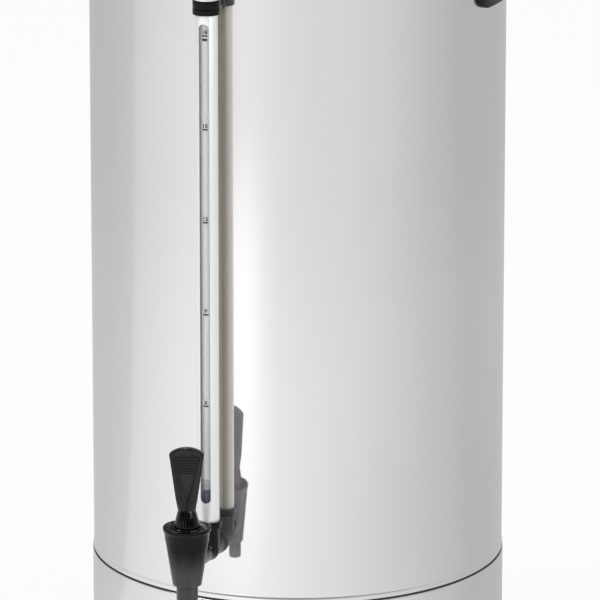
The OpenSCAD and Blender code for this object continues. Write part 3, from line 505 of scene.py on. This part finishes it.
def turned(name, profile, centre=(0, 0), steps=128):
    """A lathe piece: points of radius and height in mm, spun about an upright axis."""
    x, y = (v * MM for v in centre)
    bpy.ops.object.select_all(action="DESELECT")
    radius, height = profile[0]
    bpy.ops.mesh.primitive_plane_add(size=MM, location=(x + radius * MM, y, height * MM))
    obj = bpy.context.object
    obj.name = name
    bpy.ops.object.transform_apply(location=True, rotation=True, scale=True)
    bpy.ops.object.mode_set(mode="EDIT")
    bpy.ops.mesh.merge(type="CENTER")
    for (r0, z0), (r1, z1) in zip(profile, profile[1:]):
        step = ((r1 - r0) * MM, 0, (z1 - z0) * MM)
        bpy.ops.mesh.extrude_vertices_move(TRANSFORM_OT_translate={"value": step})
    bpy.ops.mesh.select_all(action="SELECT")
    bpy.ops.mesh.spin(steps=steps, angle=math.tau, center=(x, y, 0), axis=(0, 0, 1))
    bpy.ops.mesh.select_all(action="SELECT")
    bpy.ops.mesh.remove_doubles(threshold=MERGE)
    bpy.ops.mesh.normals_make_consistent(inside=False)
    bpy.ops.object.mode_set(mode="OBJECT")
    return obj


def copied(node, name):
    """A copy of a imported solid, merged and with its flat faces made whole."""
    obj = bpy.data.objects.new(name, frame["nodes"][node].data.copy())
    bpy.context.scene.collection.objects.link(obj)
    obj.data.materials.clear()
    edit_all(obj)
    bpy.ops.mesh.remove_doubles(threshold=MERGE)
    bpy.ops.mesh.dissolve_limited(angle_limit=FLAT)
    bpy.ops.object.mode_set(mode="OBJECT")
    return obj


def rounded(obj, width, segments=2, angle=40):
    """Rounds the edges that are sharper than an angle, by a width in mm."""
    apply_modifier(
        obj, "BEVEL", width=width * MM, segments=segments, limit_method="ANGLE", angle_limit=math.radians(angle)
    )
    return obj


def dressed(obj, material, slot, body, *nodes):
    """Smooths a finished piece, gives it its finish and puts it in the place of its nodes."""
    only(obj)
    bpy.ops.object.shade_smooth_by_angle(angle=SMOOTH)
    obj.data.materials.clear()
    obj.data.materials.append(material)
    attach(obj, body)
    if nodes:
        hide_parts(*nodes)
    print(obj.name, "faces:", len(obj.data.polygons))
    return obj


print("shaping helpers ready")

# %% [markdown]
# ## Body shell, base band and tank
# The real shell is rolled from one sheet, and a mirror finish shows every flat, so it gets many segments.
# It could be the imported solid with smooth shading, but its long triangles would bend the reflections.
# A turned profile keeps them straight, with the small bead at the foot and the shadow gap under it.

# %% Body shell
BODY_R = 135.0
SEAM = 90.0
RIM = 525.0
SHEET = 1.0
MIRROR_STEPS = 256
shell = turned(
    "body_shell",
    [
        (BODY_R - SHEET, SEAM), (BODY_R + 0.1, SEAM), (BODY_R + 0.3, SEAM + 0.1), (BODY_R + 0.4, SEAM + 0.35),
        (BODY_R + 0.4, SEAM + 1.6), (BODY_R + 0.32, SEAM + 2.3), (BODY_R + 0.15, SEAM + 3.2),
        (BODY_R + 0.03, SEAM + 3.8), (BODY_R, SEAM + 4.4), (BODY_R, SEAM + 40), (BODY_R, RIM - 40), (BODY_R, RIM),
        (BODY_R - SHEET, RIM), (BODY_R - SHEET, SEAM),
    ],
    steps=MIRROR_STEPS,
)
dressed(shell, polished_steel, "polished_steel", "urn", "outer_body")

# %% [markdown]
# The base band carries the controls. It is turned in the same way, and the openings for the switch,
# the lamps, the dial and the inlet are cut by Boolean modifiers with simple cutters.

# %% Cutters
BAND_R = 135.7


def cut_with(obj, cutter):
    apply_modifier(obj, "BOOLEAN", object=cutter, operation="DIFFERENCE", solver="EXACT")
    bpy.data.objects.remove(cutter)


def at_wall(azimuth, height):
    """A place on the wall, and its turn: the azimuth counts from the front towards +X."""
    turn = math.radians(azimuth)
    return (BAND_R * MM * math.sin(turn), -BAND_R * MM * math.cos(turn), height * MM), turn


def cut_round(obj, diameter, azimuth, height, depth=8.0):
    """Cuts a round hole through the wall."""
    place, turn = at_wall(azimuth, height)
    bpy.ops.object.select_all(action="DESELECT")
    bpy.ops.mesh.primitive_cylinder_add(
        vertices=64, radius=diameter / 2 * MM, depth=2 * depth * MM, location=place, rotation=(math.pi / 2, 0, turn)
    )
    cut_with(obj, bpy.context.object)


def cut_square(obj, width, high, azimuth, height, depth=8.0):
    """Cuts a square hole through the wall."""
    place, turn = at_wall(azimuth, height)
    bpy.ops.object.select_all(action="DESELECT")
    bpy.ops.mesh.primitive_cube_add(
        size=1, scale=(width * MM, 2 * depth * MM, high * MM), location=place, rotation=(0, 0, turn)
    )
    cut_with(obj, bpy.context.object)


print("cutters ready")

# %% Base band
FOOT_TOP = 10.0
LAP_R = 133.7
CONTROL_Z = 50.0
SWITCH_AT = 8
LAMPS_AT = 19
DIAL_AT = 33
INLET_AT = 180
SWITCH_OPENING = (19.6, 25.6)
LAMP_HOLE = 9.6
DIAL_HOLE = 10.6
INLET_OPENING = (27.6, 21.6)
band = turned(
    "base_band",
    [
        (BAND_R - SHEET, FOOT_TOP), (BAND_R - 0.3, FOOT_TOP), (BAND_R - 0.08, FOOT_TOP + 0.1),
        (BAND_R, FOOT_TOP + 0.4), (BAND_R, SEAM - 2.1), (BAND_R - 0.1, SEAM - 1.7), (BAND_R - 0.4, SEAM - 1.5),
        (LAP_R, SEAM - 1.5), (LAP_R, SEAM + 10), (LAP_R - SHEET, SEAM + 10), (LAP_R - SHEET, SEAM - 2.5),
        (BAND_R - SHEET, SEAM - 2.5), (BAND_R - SHEET, FOOT_TOP),
    ],
    steps=MIRROR_STEPS,
)
cut_square(band, *SWITCH_OPENING, SWITCH_AT, CONTROL_Z)
for rise in (10, -10):
    cut_round(band, LAMP_HOLE, LAMPS_AT, CONTROL_Z + rise)
cut_round(band, DIAL_HOLE, DIAL_AT, CONTROL_Z)
cut_square(band, *INLET_OPENING, INLET_AT, CONTROL_Z)
dressed(band, polished_steel, "polished_steel", "urn", "base_band")

# %% [markdown]
# The tank hangs in the shell by a rolled rim. Only the rim and the inside show, with the lid off.
# Wall, floor and rim are separate sheets on the real urn, welded together, and so they are here.

# %% Tank and foot ring
TANK_R = 126.0
TANK_LOW = 107.0
SHANK_Z = 127.5
SHANK_HOLE = 10.6
SHEET_STEPS = 192
tank = turned(
    "tank",
    [(TANK_R, TANK_LOW), (TANK_R + SHEET, TANK_LOW), (TANK_R + SHEET, RIM), (TANK_R, RIM), (TANK_R, TANK_LOW)],
    steps=SHEET_STEPS,
)
cut_round(tank, SHANK_HOLE, 0, SHANK_Z, 20)
dressed(tank, tank_steel, "tank_steel", "urn", "inner_tank")
LIP_R = 136.3
RIM_IN = 126.05
rim = turned(
    "rim",
    [
        (RIM_IN, RIM), (LIP_R - 1, RIM), (LIP_R - 1, RIM - 5.8), (LIP_R - 0.8, RIM - 6), (LIP_R - 0.2, RIM - 6),
        (LIP_R, RIM - 5.8), (LIP_R, RIM), (LIP_R - 0.15, RIM + 0.4), (LIP_R - 0.5, RIM + 0.75),
        (LIP_R - 1.1, RIM + 0.95), (LIP_R - 1.7, RIM + 1), (RIM_IN + 0.55, RIM + 1), (RIM_IN + 0.15, RIM + 0.85),
        (RIM_IN, RIM + 0.5), (RIM_IN, RIM),
    ],
    steps=SHEET_STEPS,
)
dressed(rim, polished_steel, "polished_steel", "urn", "tank_rim")
foot = rounded(copied("foot_ring", "foot"), 0.8, 3, 35)
dressed(foot, foot_rubber, "foot_rubber", "urn", "foot_ring")

# %% [markdown]
# ## Lid and knob
# The lid is a pressed dome with a flat brim that lies on the rim and a skirt that drops into the tank.
# The dome follows a parabola, so its points are worked out, and the profile goes over and back under it.
# The steam hole and the hole for the knob's screw are drilled afterwards.

# %% Lid
LID_Z = 527.0
LID_R = 133.4
RISE = 16.0
DOME_R = 124.4
DOME_STEPS = 20
SKIRT_LOW = 514.0
STEAM_HOLE_R = 2.5
SCREW_HOLE_R = 2.8


def dome(radius):
    return LID_Z + RISE * (1 - (radius / DOME_R) ** 2)


def drill(obj, radius, behind):
    """Drills a hole straight down through the lid, a way behind its middle."""
    bpy.ops.object.select_all(action="DESELECT")
    bpy.ops.mesh.primitive_cylinder_add(
        vertices=32, radius=radius * MM, depth=40 * MM, location=(0, behind * MM, (LID_Z + 7) * MM)
    )
    cut_with(obj, bpy.context.object)


over = [(DOME_R * i / DOME_STEPS, dome(DOME_R * i / DOME_STEPS)) for i in range(DOME_STEPS + 1)]
brim = [(LID_R - 0.6, LID_Z), (LID_R - 0.2, LID_Z - 0.15), (LID_R, LID_Z - 0.5), (LID_R - 0.2, LID_Z - SHEET)]
under = [(r, z - SHEET) for r, z in reversed(over)]
lid = turned("lid_dome", over + brim + under, steps=SHEET_STEPS)
drill(lid, STEAM_HOLE_R, 0.7 * DOME_R)
drill(lid, SCREW_HOLE_R, 0)
dressed(lid, lid_steel, "polished_steel", "lid_body", "lid")
SKIRT_TOP = LID_Z - SHEET
skirt = turned(
    "skirt",
    [
        (DOME_R, SKIRT_LOW), (DOME_R + SHEET, SKIRT_LOW), (DOME_R + SHEET, SKIRT_TOP), (DOME_R, SKIRT_TOP),
        (DOME_R, SKIRT_LOW),
    ],
    steps=SHEET_STEPS,
)
dressed(skirt, lid_steel, "polished_steel", "lid_body", "lid_skirt")

# %% [markdown]
# The knob is one turned moulding with a slim neck, so that fingers get under its cap and stay off the hot lid.

# %% Lid knob
TOP = LID_Z + RISE
KNOB_BORE = 2.55
knob = turned(
    "knob",
    [
        (KNOB_BORE, TOP), (13.6, TOP), (14.1, TOP + 0.3), (14.2, TOP + 0.8), (13.2, TOP + 2.2), (11.6, TOP + 4.6),
        (10.6, TOP + 6.8), (10.4, TOP + 9), (10.4, TOP + 12), (11.0, TOP + 14), (13.5, TOP + 16), (18.5, TOP + 18),
        (21.6, TOP + 19.3), (22.7, TOP + 20.2), (23, TOP + 21.2), (23, TOP + 24), (22.4, TOP + 25.6),
        (20.4, TOP + 27.4), (17.0, TOP + 28.9), (12, TOP + 29.7), (6, TOP + 29.95), (0, TOP + 30), (0, TOP + 15),
        (KNOB_BORE, TOP + 15), (KNOB_BORE, TOP),
    ],
    steps=96,
)
dressed(knob, black_plastic, "black_plastic", "lid_body", "lid_knob")

# %% [markdown]
# ## Side handles
# Each handle is one black moulding: a plate that follows the shell and a bow that clears the fingers.
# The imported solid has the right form, so a copy of it gets rounded edges.

# %% Handles
for side in ("left", "right"):
    handle = rounded(copied(f"handle_{side}", f"side_handle_{side}"), 0.9, 3)
    dressed(handle, black_plastic, "black_plastic", "urn", f"handle_{side}")

# %% [markdown]
# ## Gauge column
# Water stands in the glass as high as in the tank. A slotted aluminium tube guards the glass,
# and a black head ties it to the shell at the top. The shell mirrors the whole column beside it.

# %% Tube, head and cap
guard = rounded(copied("guard_tube", "guard"), 0.25)
dressed(guard, guard_painted_shade, "satin_aluminium", "urn", "guard_tube")
head = rounded(copied("gauge_head", "head"), 0.35, 3)
dressed(head, gloss_black, "black_plastic", "urn", "gauge_head")
CAP_Z = 487.7
CAP_R = 8.5
CAP_BORE = 4.55
TUBE_STEPS = 64
cap = turned(
    "cap",
    [
        (CAP_BORE, CAP_Z), (CAP_R - 0.3, CAP_Z), (CAP_R - 0.05, CAP_Z + 0.2), (CAP_R, CAP_Z + 0.5),
        (CAP_R, CAP_Z + 10.3), (CAP_R - 0.2, CAP_Z + 11.3), (CAP_R - 0.9, CAP_Z + 12.5), (CAP_R - 1.9, CAP_Z + 13.4),
        (5.28, CAP_Z + 13.9), (0, CAP_Z + 14), (0, CAP_Z + 7.3), (CAP_BORE, CAP_Z + 7.3), (CAP_BORE, CAP_Z),
    ],
    GUARD,
    TUBE_STEPS,
)
dressed(cap, satin_aluminium, "satin_aluminium", "urn", "gauge_cap")

# %% [markdown]
# The glass is a plain tube, and the float in it is a small bead with round ends that stands at the water's level.
# Both are turned about the axis of the guard tube.

# %% Glass and float
GLASS_R = 4.5
GLASS_IN = 3.3
GLASS_Z = 156.3
GLASS_TOP = 494.7
glass = turned(
    "glass",
    [(GLASS_IN, GLASS_Z), (GLASS_R, GLASS_Z), (GLASS_R, GLASS_TOP), (GLASS_IN, GLASS_TOP), (GLASS_IN, GLASS_Z)],
    GUARD,
    TUBE_STEPS,
)
dressed(glass, sight_glass, "gauge_glass", "urn", "gauge_glass")
low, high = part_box("gauge_float")
FLOAT_R = (high.x - low.x) / 2 / MM


def bead_point(angle):
    """A point of the bead's profile: the lower end below the level, the upper end above it."""
    turn = math.radians(angle)
    middle = low.z / MM + FLOAT_R if angle <= 0 else high.z / MM - FLOAT_R
    return (0.0 if abs(angle) == 90 else math.cos(turn) * FLOAT_R, middle + math.sin(turn) * FLOAT_R)


bead = turned("float_bead", [bead_point(angle) for angle in range(-90, 91, 10)], GUARD, 48)
dressed(bead, float_blue, "float_blue", "float", "gauge_float")

# %% [markdown]
# The marks are printed on the front of the glass: a bar for each level and its number above it,
# with a second, thicker bar at the top one, because the urn is full there.
# Flat letters would stand off the round glass, so each number is made a mesh and wrapped about the tube's axis.

# %% Gauge marks
SLOT_TURN = math.radians(7)
INK_R = GLASS_R + 0.06
INK_T = 0.04
BOLD = 0.09
MARK_W = 3.4


def wrap_on_glass(obj, radius):
    """Bends a flat mesh, drawn in x and z, round the front of the glass."""
    for vertex in obj.data.vertices:
        angle = vertex.co.x / (radius * MM) + SLOT_TURN
        reach = radius * MM - vertex.co.y
        vertex.co.x = GUARD[0] * MM + reach * math.sin(angle)
        vertex.co.y = GUARD[1] * MM - reach * math.cos(angle)


def printed(name, words, size, height):
    """A number as thin ink on the glass, with its foot at a height."""
    bpy.ops.object.select_all(action="DESELECT")
    bpy.ops.object.text_add(rotation=(math.pi / 2, 0, 0))
    text = bpy.context.object
    text.name = name
    text.data.body = words
    text.data.align_x = "CENTER"
    text.data.size = size * MM
    text.data.extrude = INK_T / 2 * MM
    text.data.offset = BOLD * MM
    bpy.ops.object.convert(target="MESH")
    bpy.ops.object.transform_apply(location=True, rotation=True, scale=True)
    edit_all(text)
    bpy.ops.mesh.remove_doubles(threshold=MERGE / 2)
    bpy.ops.transform.translate(value=(0, 0, height * MM))
    bpy.ops.object.mode_set(mode="OBJECT")
    wrap_on_glass(text, INK_R)
    return text


def bar(name, thick, height):
    """A short printed bar on the glass."""
    bpy.ops.object.select_all(action="DESELECT")
    bpy.ops.mesh.primitive_cube_add(
        size=1, scale=(MARK_W * MM, INK_T * MM, thick * MM), location=(0, 0, height * MM)
    )
    obj = bpy.context.object
    obj.name = name
    bpy.ops.object.transform_apply(location=True, rotation=True, scale=True)
    edit_all(obj)
    bpy.ops.mesh.subdivide(number_cuts=7)
    bpy.ops.object.mode_set(mode="OBJECT")
    wrap_on_glass(obj, INK_R)
    return obj


FIRST_MARK = 224.3
MARK_STEP = 60.2
LITRES = (6, 9, 12, 15, 18)
for count, litres in enumerate(LITRES):
    level = FIRST_MARK + count * MARK_STEP
    for mark in (
        bar(f"mark_{litres}", 1.0, level),
        printed(f"number_{litres}", str(litres), 3.6, level + 1.2),
    ):
        dressed(mark, gauge_ink, "black_plastic", "urn")
FULL_MARK = FIRST_MARK + (len(LITRES) - 1) * MARK_STEP - 2.4
dressed(bar("mark_full", 1.6, FULL_MARK), gauge_ink, "black_plastic", "urn")

# %% [markdown]
# ## Tap
# The tap is a black moulding: a tee out of the body, a cone with a nozzle, a bonnet and a lever.
# Tee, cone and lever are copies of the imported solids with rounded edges; the bonnet is turned,
# because its lip and the ring groove round the lever's foot need soft curves.

# %% Tee, cone and bonnet
tee = rounded(copied("tap_tee", "tee"), 0.5, 3)
dressed(tee, tee_black, "black_plastic", "urn", "tap_tee")
cone = rounded(copied("tap_body", "tap_cone"), 0.5, 3)
dressed(cone, streaked_black, "black_plastic", "urn", "tap_body")
BONNET_Z = 143.7
BONNET_IN = 12.0
STEM_HOLE = 2.25
bonnet = turned(
    "bonnet",
    [
        (BONNET_IN, BONNET_Z), (13.7, BONNET_Z), (13.95, BONNET_Z + 0.2), (14.05, BONNET_Z + 0.6),
        (14.7, BONNET_TOP - 3.2), (14.9, BONNET_TOP - 2.8), (15.2, BONNET_TOP - 2.5), (15.4, BONNET_TOP - 2.0),
        (15.4, BONNET_TOP - 0.8), (15.3, BONNET_TOP - 0.4), (15.0, BONNET_TOP - 0.1), (14.6, BONNET_TOP),
        (13.6, BONNET_TOP), (13.3, BONNET_TOP - 0.1), (13.05, BONNET_TOP - 0.5), (12.7, BONNET_TOP - 1.0),
        (12.2, BONNET_TOP - 1.2), (10.3, BONNET_TOP - 1.2), (9.9, BONNET_TOP - 1.0), (9.7, BONNET_TOP - 0.4),
        (9.4, BONNET_TOP - 0.05), (9.0, BONNET_TOP), (STEM_HOLE, BONNET_TOP), (STEM_HOLE, BONNET_TOP - 4),
        (BONNET_IN, BONNET_TOP - 4), (BONNET_IN, BONNET_Z),
    ],
    TAP,
    96,
)
dressed(bonnet, bonnet_black, "black_plastic", "urn", "tap_bonnet")

# %% Lever
lever = rounded(copied("tap_lever", "lever_paddle"), 0.25)
dressed(lever, lever_black, "black_plastic", "lever", "tap_lever")

# %% [markdown]
# The spring under the bonnet presses the seal on its seat. When the lever lifts the stem, the spring gets shorter
# by the stem's travel while its upper end stays under the bonnet.
# A spring could be rebuilt at each pose; here it is one copy of the imported coil, which keeps its shape.

# %% Spring
low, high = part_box("tap_spring")
spring = dressed(copied("tap_spring", "spring_coil"), tank_steel, "tank_steel", "urn", "tap_spring")
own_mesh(spring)

# %% [markdown]
# ## Controls, gasket and heater
# A red rocker, two pilot lamps and a thermostat knob stand in a row, and a mains inlet sits at the back.
# The outer gasket shows behind the tee, and the heater's rod at the bottom of the tank.
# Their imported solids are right; copies of them get rounded edges and their own finishes.

# %% Controls
for node, name, width, material, slot, body in (
    ("switch_frame", "rocker_frame", 0.4, black_plastic, "black_plastic", "urn"),
    ("switch_rocker", "rocker", 0.4, switch_red, "switch_red", "rocker"),
    ("heat_lamp", "amber_lamp", 0.25, lamp_amber, "lamp_amber", "urn"),
    ("ready_lamp", "green_lamp", 0.25, lamp_green, "lamp_green", "urn"),
    ("thermostat_knob", "dial_knob", 0.5, black_plastic, "black_plastic", "dial"),
    ("power_inlet", "inlet", 0.4, black_plastic, "black_plastic", "urn"),
    ("shank_gasket", "outer_gasket", 0.3, foot_rubber, "foot_rubber", "urn"),
    ("heating_element", "heater_rod", 0.1, element_steel, "element_steel", "urn"),
):
    dressed(rounded(copied(node, name), width), material, slot, body, node)

# %% [markdown]
# ## Hidden pieces
# Screws, nuts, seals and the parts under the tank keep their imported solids.
# Each takes the finish of the slot that the record names for it.

# %% Finishes for the nodes that stay
finishes = {
    "polished_steel": polished_steel,
    "tank_steel": tank_steel,
    "satin_aluminium": satin_aluminium,
    "element_steel": element_steel,
    "black_plastic": black_plastic,
    "foot_rubber": foot_rubber,
    "silicone": silicone,
    "float_blue": float_blue,
    "gauge_glass": sight_glass,
    "switch_red": switch_red,
    "lamp_amber": lamp_amber,
    "lamp_green": lamp_green,
    "brown_plastic": brown_plastic,
    "ivory_plastic": ivory_plastic,
}
for part in frame["record"]["subparts"]:
    for place in frame["nodes"][part["node"]].material_slots:
        place.material = finishes[part["material_slot"]]

# %% [markdown]
# ## Table
# The body is a mirror, and from this height it mirrors the table all round it.
# So the table's tone sets the body's tone. To mirror rays the table glows with painted light: brightest in front,
# a little to the left, greyer at the sides and a little greyer far away, with a painted shade close by on the right.
# A narrow painted band of light lies on the table in front of the gauge, and in the body it stands beside the gauge
# column.
# To the camera the table is white, and a share of plain diffuse keeps the shadow.
# The tone is a plain grey, so it can be multiplied by a level as a number.

# %% Floor
FLOOR_R = 9
FLOOR_Z = -0.5 * MM
bpy.ops.object.select_all(action="DESELECT")
bpy.ops.mesh.primitive_circle_add(vertices=128, radius=FLOOR_R, fill_type="NGON", location=(0, 0, FLOOR_Z))
floor = bpy.context.object
floor.name = "floor"
bpy.ops.object.transform_apply(location=True, rotation=True, scale=True)
print("floor radius in m:", FLOOR_R)

# %% Painted glow of the table
BRIGHT_AT = math.radians(-4.5)
BAND_AT = 0.487
GLOW = 0.88
ROUND = (
    (0.0, 0.55), (0.22, 0.59), (0.293, 0.65), (0.307, 0.785), (0.40, 0.94), (0.5, 1.05), (0.575, 0.90),
    (0.64, 0.81), (0.70, 0.715), (0.775, 0.605), (0.85, 0.525), (1.0, 0.55),
)
table_white, wires = new_finish("table_white")
where = wires.node("ShaderNodeTexCoord", output="Object")
turn = wires.node(
    "ShaderNodeMapping", {"vector_type": "TEXTURE"}, {"Vector": where, "Rotation": (0, 0, BRIGHT_AT)}
)
sideways = wires.node("ShaderNodeSeparateXYZ", {}, {"Vector": turn}, "X")
forwards = wires.node("ShaderNodeSeparateXYZ", {}, {"Vector": turn}, "Y") * -1.0
azimuth = wires.math("ARCTAN2", sideways, forwards) / math.tau + 0.5
away = wires.node("ShaderNodeVectorMath", {"operation": "LENGTH"}, {0: where}, "Value")
# Painted glow by azimuth, which the body mirrors.
painted_glow = wires.node(
    "ShaderNodeValToRGB", {"stops": [(place, grey(level)) for place, level in ROUND]}, {"Fac": azimuth}
)
# A painted band of light on the table, and a painted shade close by on the right.
off_band = wires.math("ABSOLUTE", azimuth - BAND_AT)
painted_light_band = fading(wires, off_band, 0.006, 0.06, 0.28, 0.0)
painted_light_band = painted_light_band * fading(wires, away, 0.45, 0.65) * fading(wires, away, 1.3, 1.9, 1.0, 0.0)
painted_shade_corner = fading(wires, azimuth, 0.56, 0.70, 0.0, 0.06) * fading(wires, away, 0.5, 1.1, 1.0, 0.0)
level = fading(wires, away, 0.8, 1.6, 1.03, 0.93) + painted_light_band - painted_shade_corner
seen = wires.node("ShaderNodeLightPath", output="Is Camera Ray")
glossy = wires.node("ShaderNodeLightPath", output="Is Glossy Ray")
through = wires.node("ShaderNodeLightPath", output="Is Transmission Ray")
white = wires.node("ShaderNodeEmission", {}, {"Color": (1, 1, 1, 1), "Strength": 1.0})
mirrored = wires.node("ShaderNodeEmission", {}, {"Color": painted_glow * level, "Strength": 1.0})
glow = wires.node("ShaderNodeMixShader", {}, {0: glossy, 1: white, 2: mirrored})
matt = wires.node("ShaderNodeBsdfDiffuse", {}, {"Color": (0.8, 0.8, 0.8, 1)})
share = wires.math("MINIMUM", seen + glossy + through, 1.0) * GLOW
surface = wires.node("ShaderNodeMixShader", {}, {0: share, 1: matt, 2: glow})
wires.node("ShaderNodeOutputMaterial", {}, {"Surface": surface})
floor.data.materials.append(table_white)
print("table:", table_white.name)

# %% [markdown]
# ## Light
# Plain soft studio light: a pale sky all round, and four soft boxes, of which the one on the left is the key.
# Gloss needs something dark to mirror as well, or black plastic looks grey all over: so what is mirrored is a room
# that is dim near the level of the eye and bright overhead. To the camera the background is white.

# %% World
world = bpy.data.worlds.new("studio")
bpy.context.scene.world = world
world.use_nodes = True
world.node_tree.nodes.clear()
sky = Wire(world.node_tree)
up = sky.node("ShaderNodeTexCoord", output="Generated")
height = sky.node("ShaderNodeSeparateXYZ", {}, {"Vector": up}, "Z") * 0.5 + 0.5
SKY = ((0.0, 0.55), (0.5, 0.62), (1.0, 0.85))
ROOM = ((0.0, 0.55), (0.5, 0.35), (0.56, 0.10), (0.66, 0.10), (0.78, 0.50), (1.0, 0.72))
shade, room = (
    sky.node("ShaderNodeValToRGB", {"stops": [(place, grey(level)) for place, level in stops]}, {"Fac": height})
    for stops in (SKY, ROOM)
)
seen = sky.node("ShaderNodeLightPath", output="Is Camera Ray")
glossy = sky.node("ShaderNodeLightPath", output="Is Glossy Ray")
around = sky.node("ShaderNodeMix", {"data_type": "RGBA"}, {0: glossy, 6: shade, 7: room}, 2)
sky_colour = sky.node("ShaderNodeMix", {"data_type": "RGBA"}, {0: seen, 6: around, 7: (1, 1, 1, 1)}, 2)
sky_light = sky.node("ShaderNodeBackground", {}, {"Color": sky_colour, "Strength": 1.0})
sky.node("ShaderNodeOutputWorld", {}, {"Surface": sky_light})
print("world:", world.name)

# %% Lamps
AIM = 0.3


def soft_box(name, azimuth, distance, height, size, power):
    """A square lamp that faces the urn, at an azimuth from the front towards +X."""
    turn = math.radians(azimuth)
    bpy.ops.object.select_all(action="DESELECT")
    bpy.ops.object.light_add(
        type="AREA",
        location=(distance * math.sin(turn), -distance * math.cos(turn), height),
        rotation=(math.atan2(distance, height - AIM), 0, turn),
    )
    lamp = bpy.context.object
    lamp.name = name
    lamp.data.shape = "SQUARE"
    lamp.data.size = size
    lamp.data.energy = power
    print("lamp:", name, power, "W")


soft_box("key", azimuth=-51, distance=2.2, height=2.0, size=0.9, power=26)
soft_box("fill", azimuth=88, distance=2.6, height=1.6, size=1.2, power=12)
soft_box("side", azimuth=58, distance=2.2, height=1.2, size=0.6, power=8)
soft_box("back", azimuth=188, distance=2.4, height=2.2, size=1.6, power=7)
bpy.context.scene.view_settings.view_transform = "Standard"
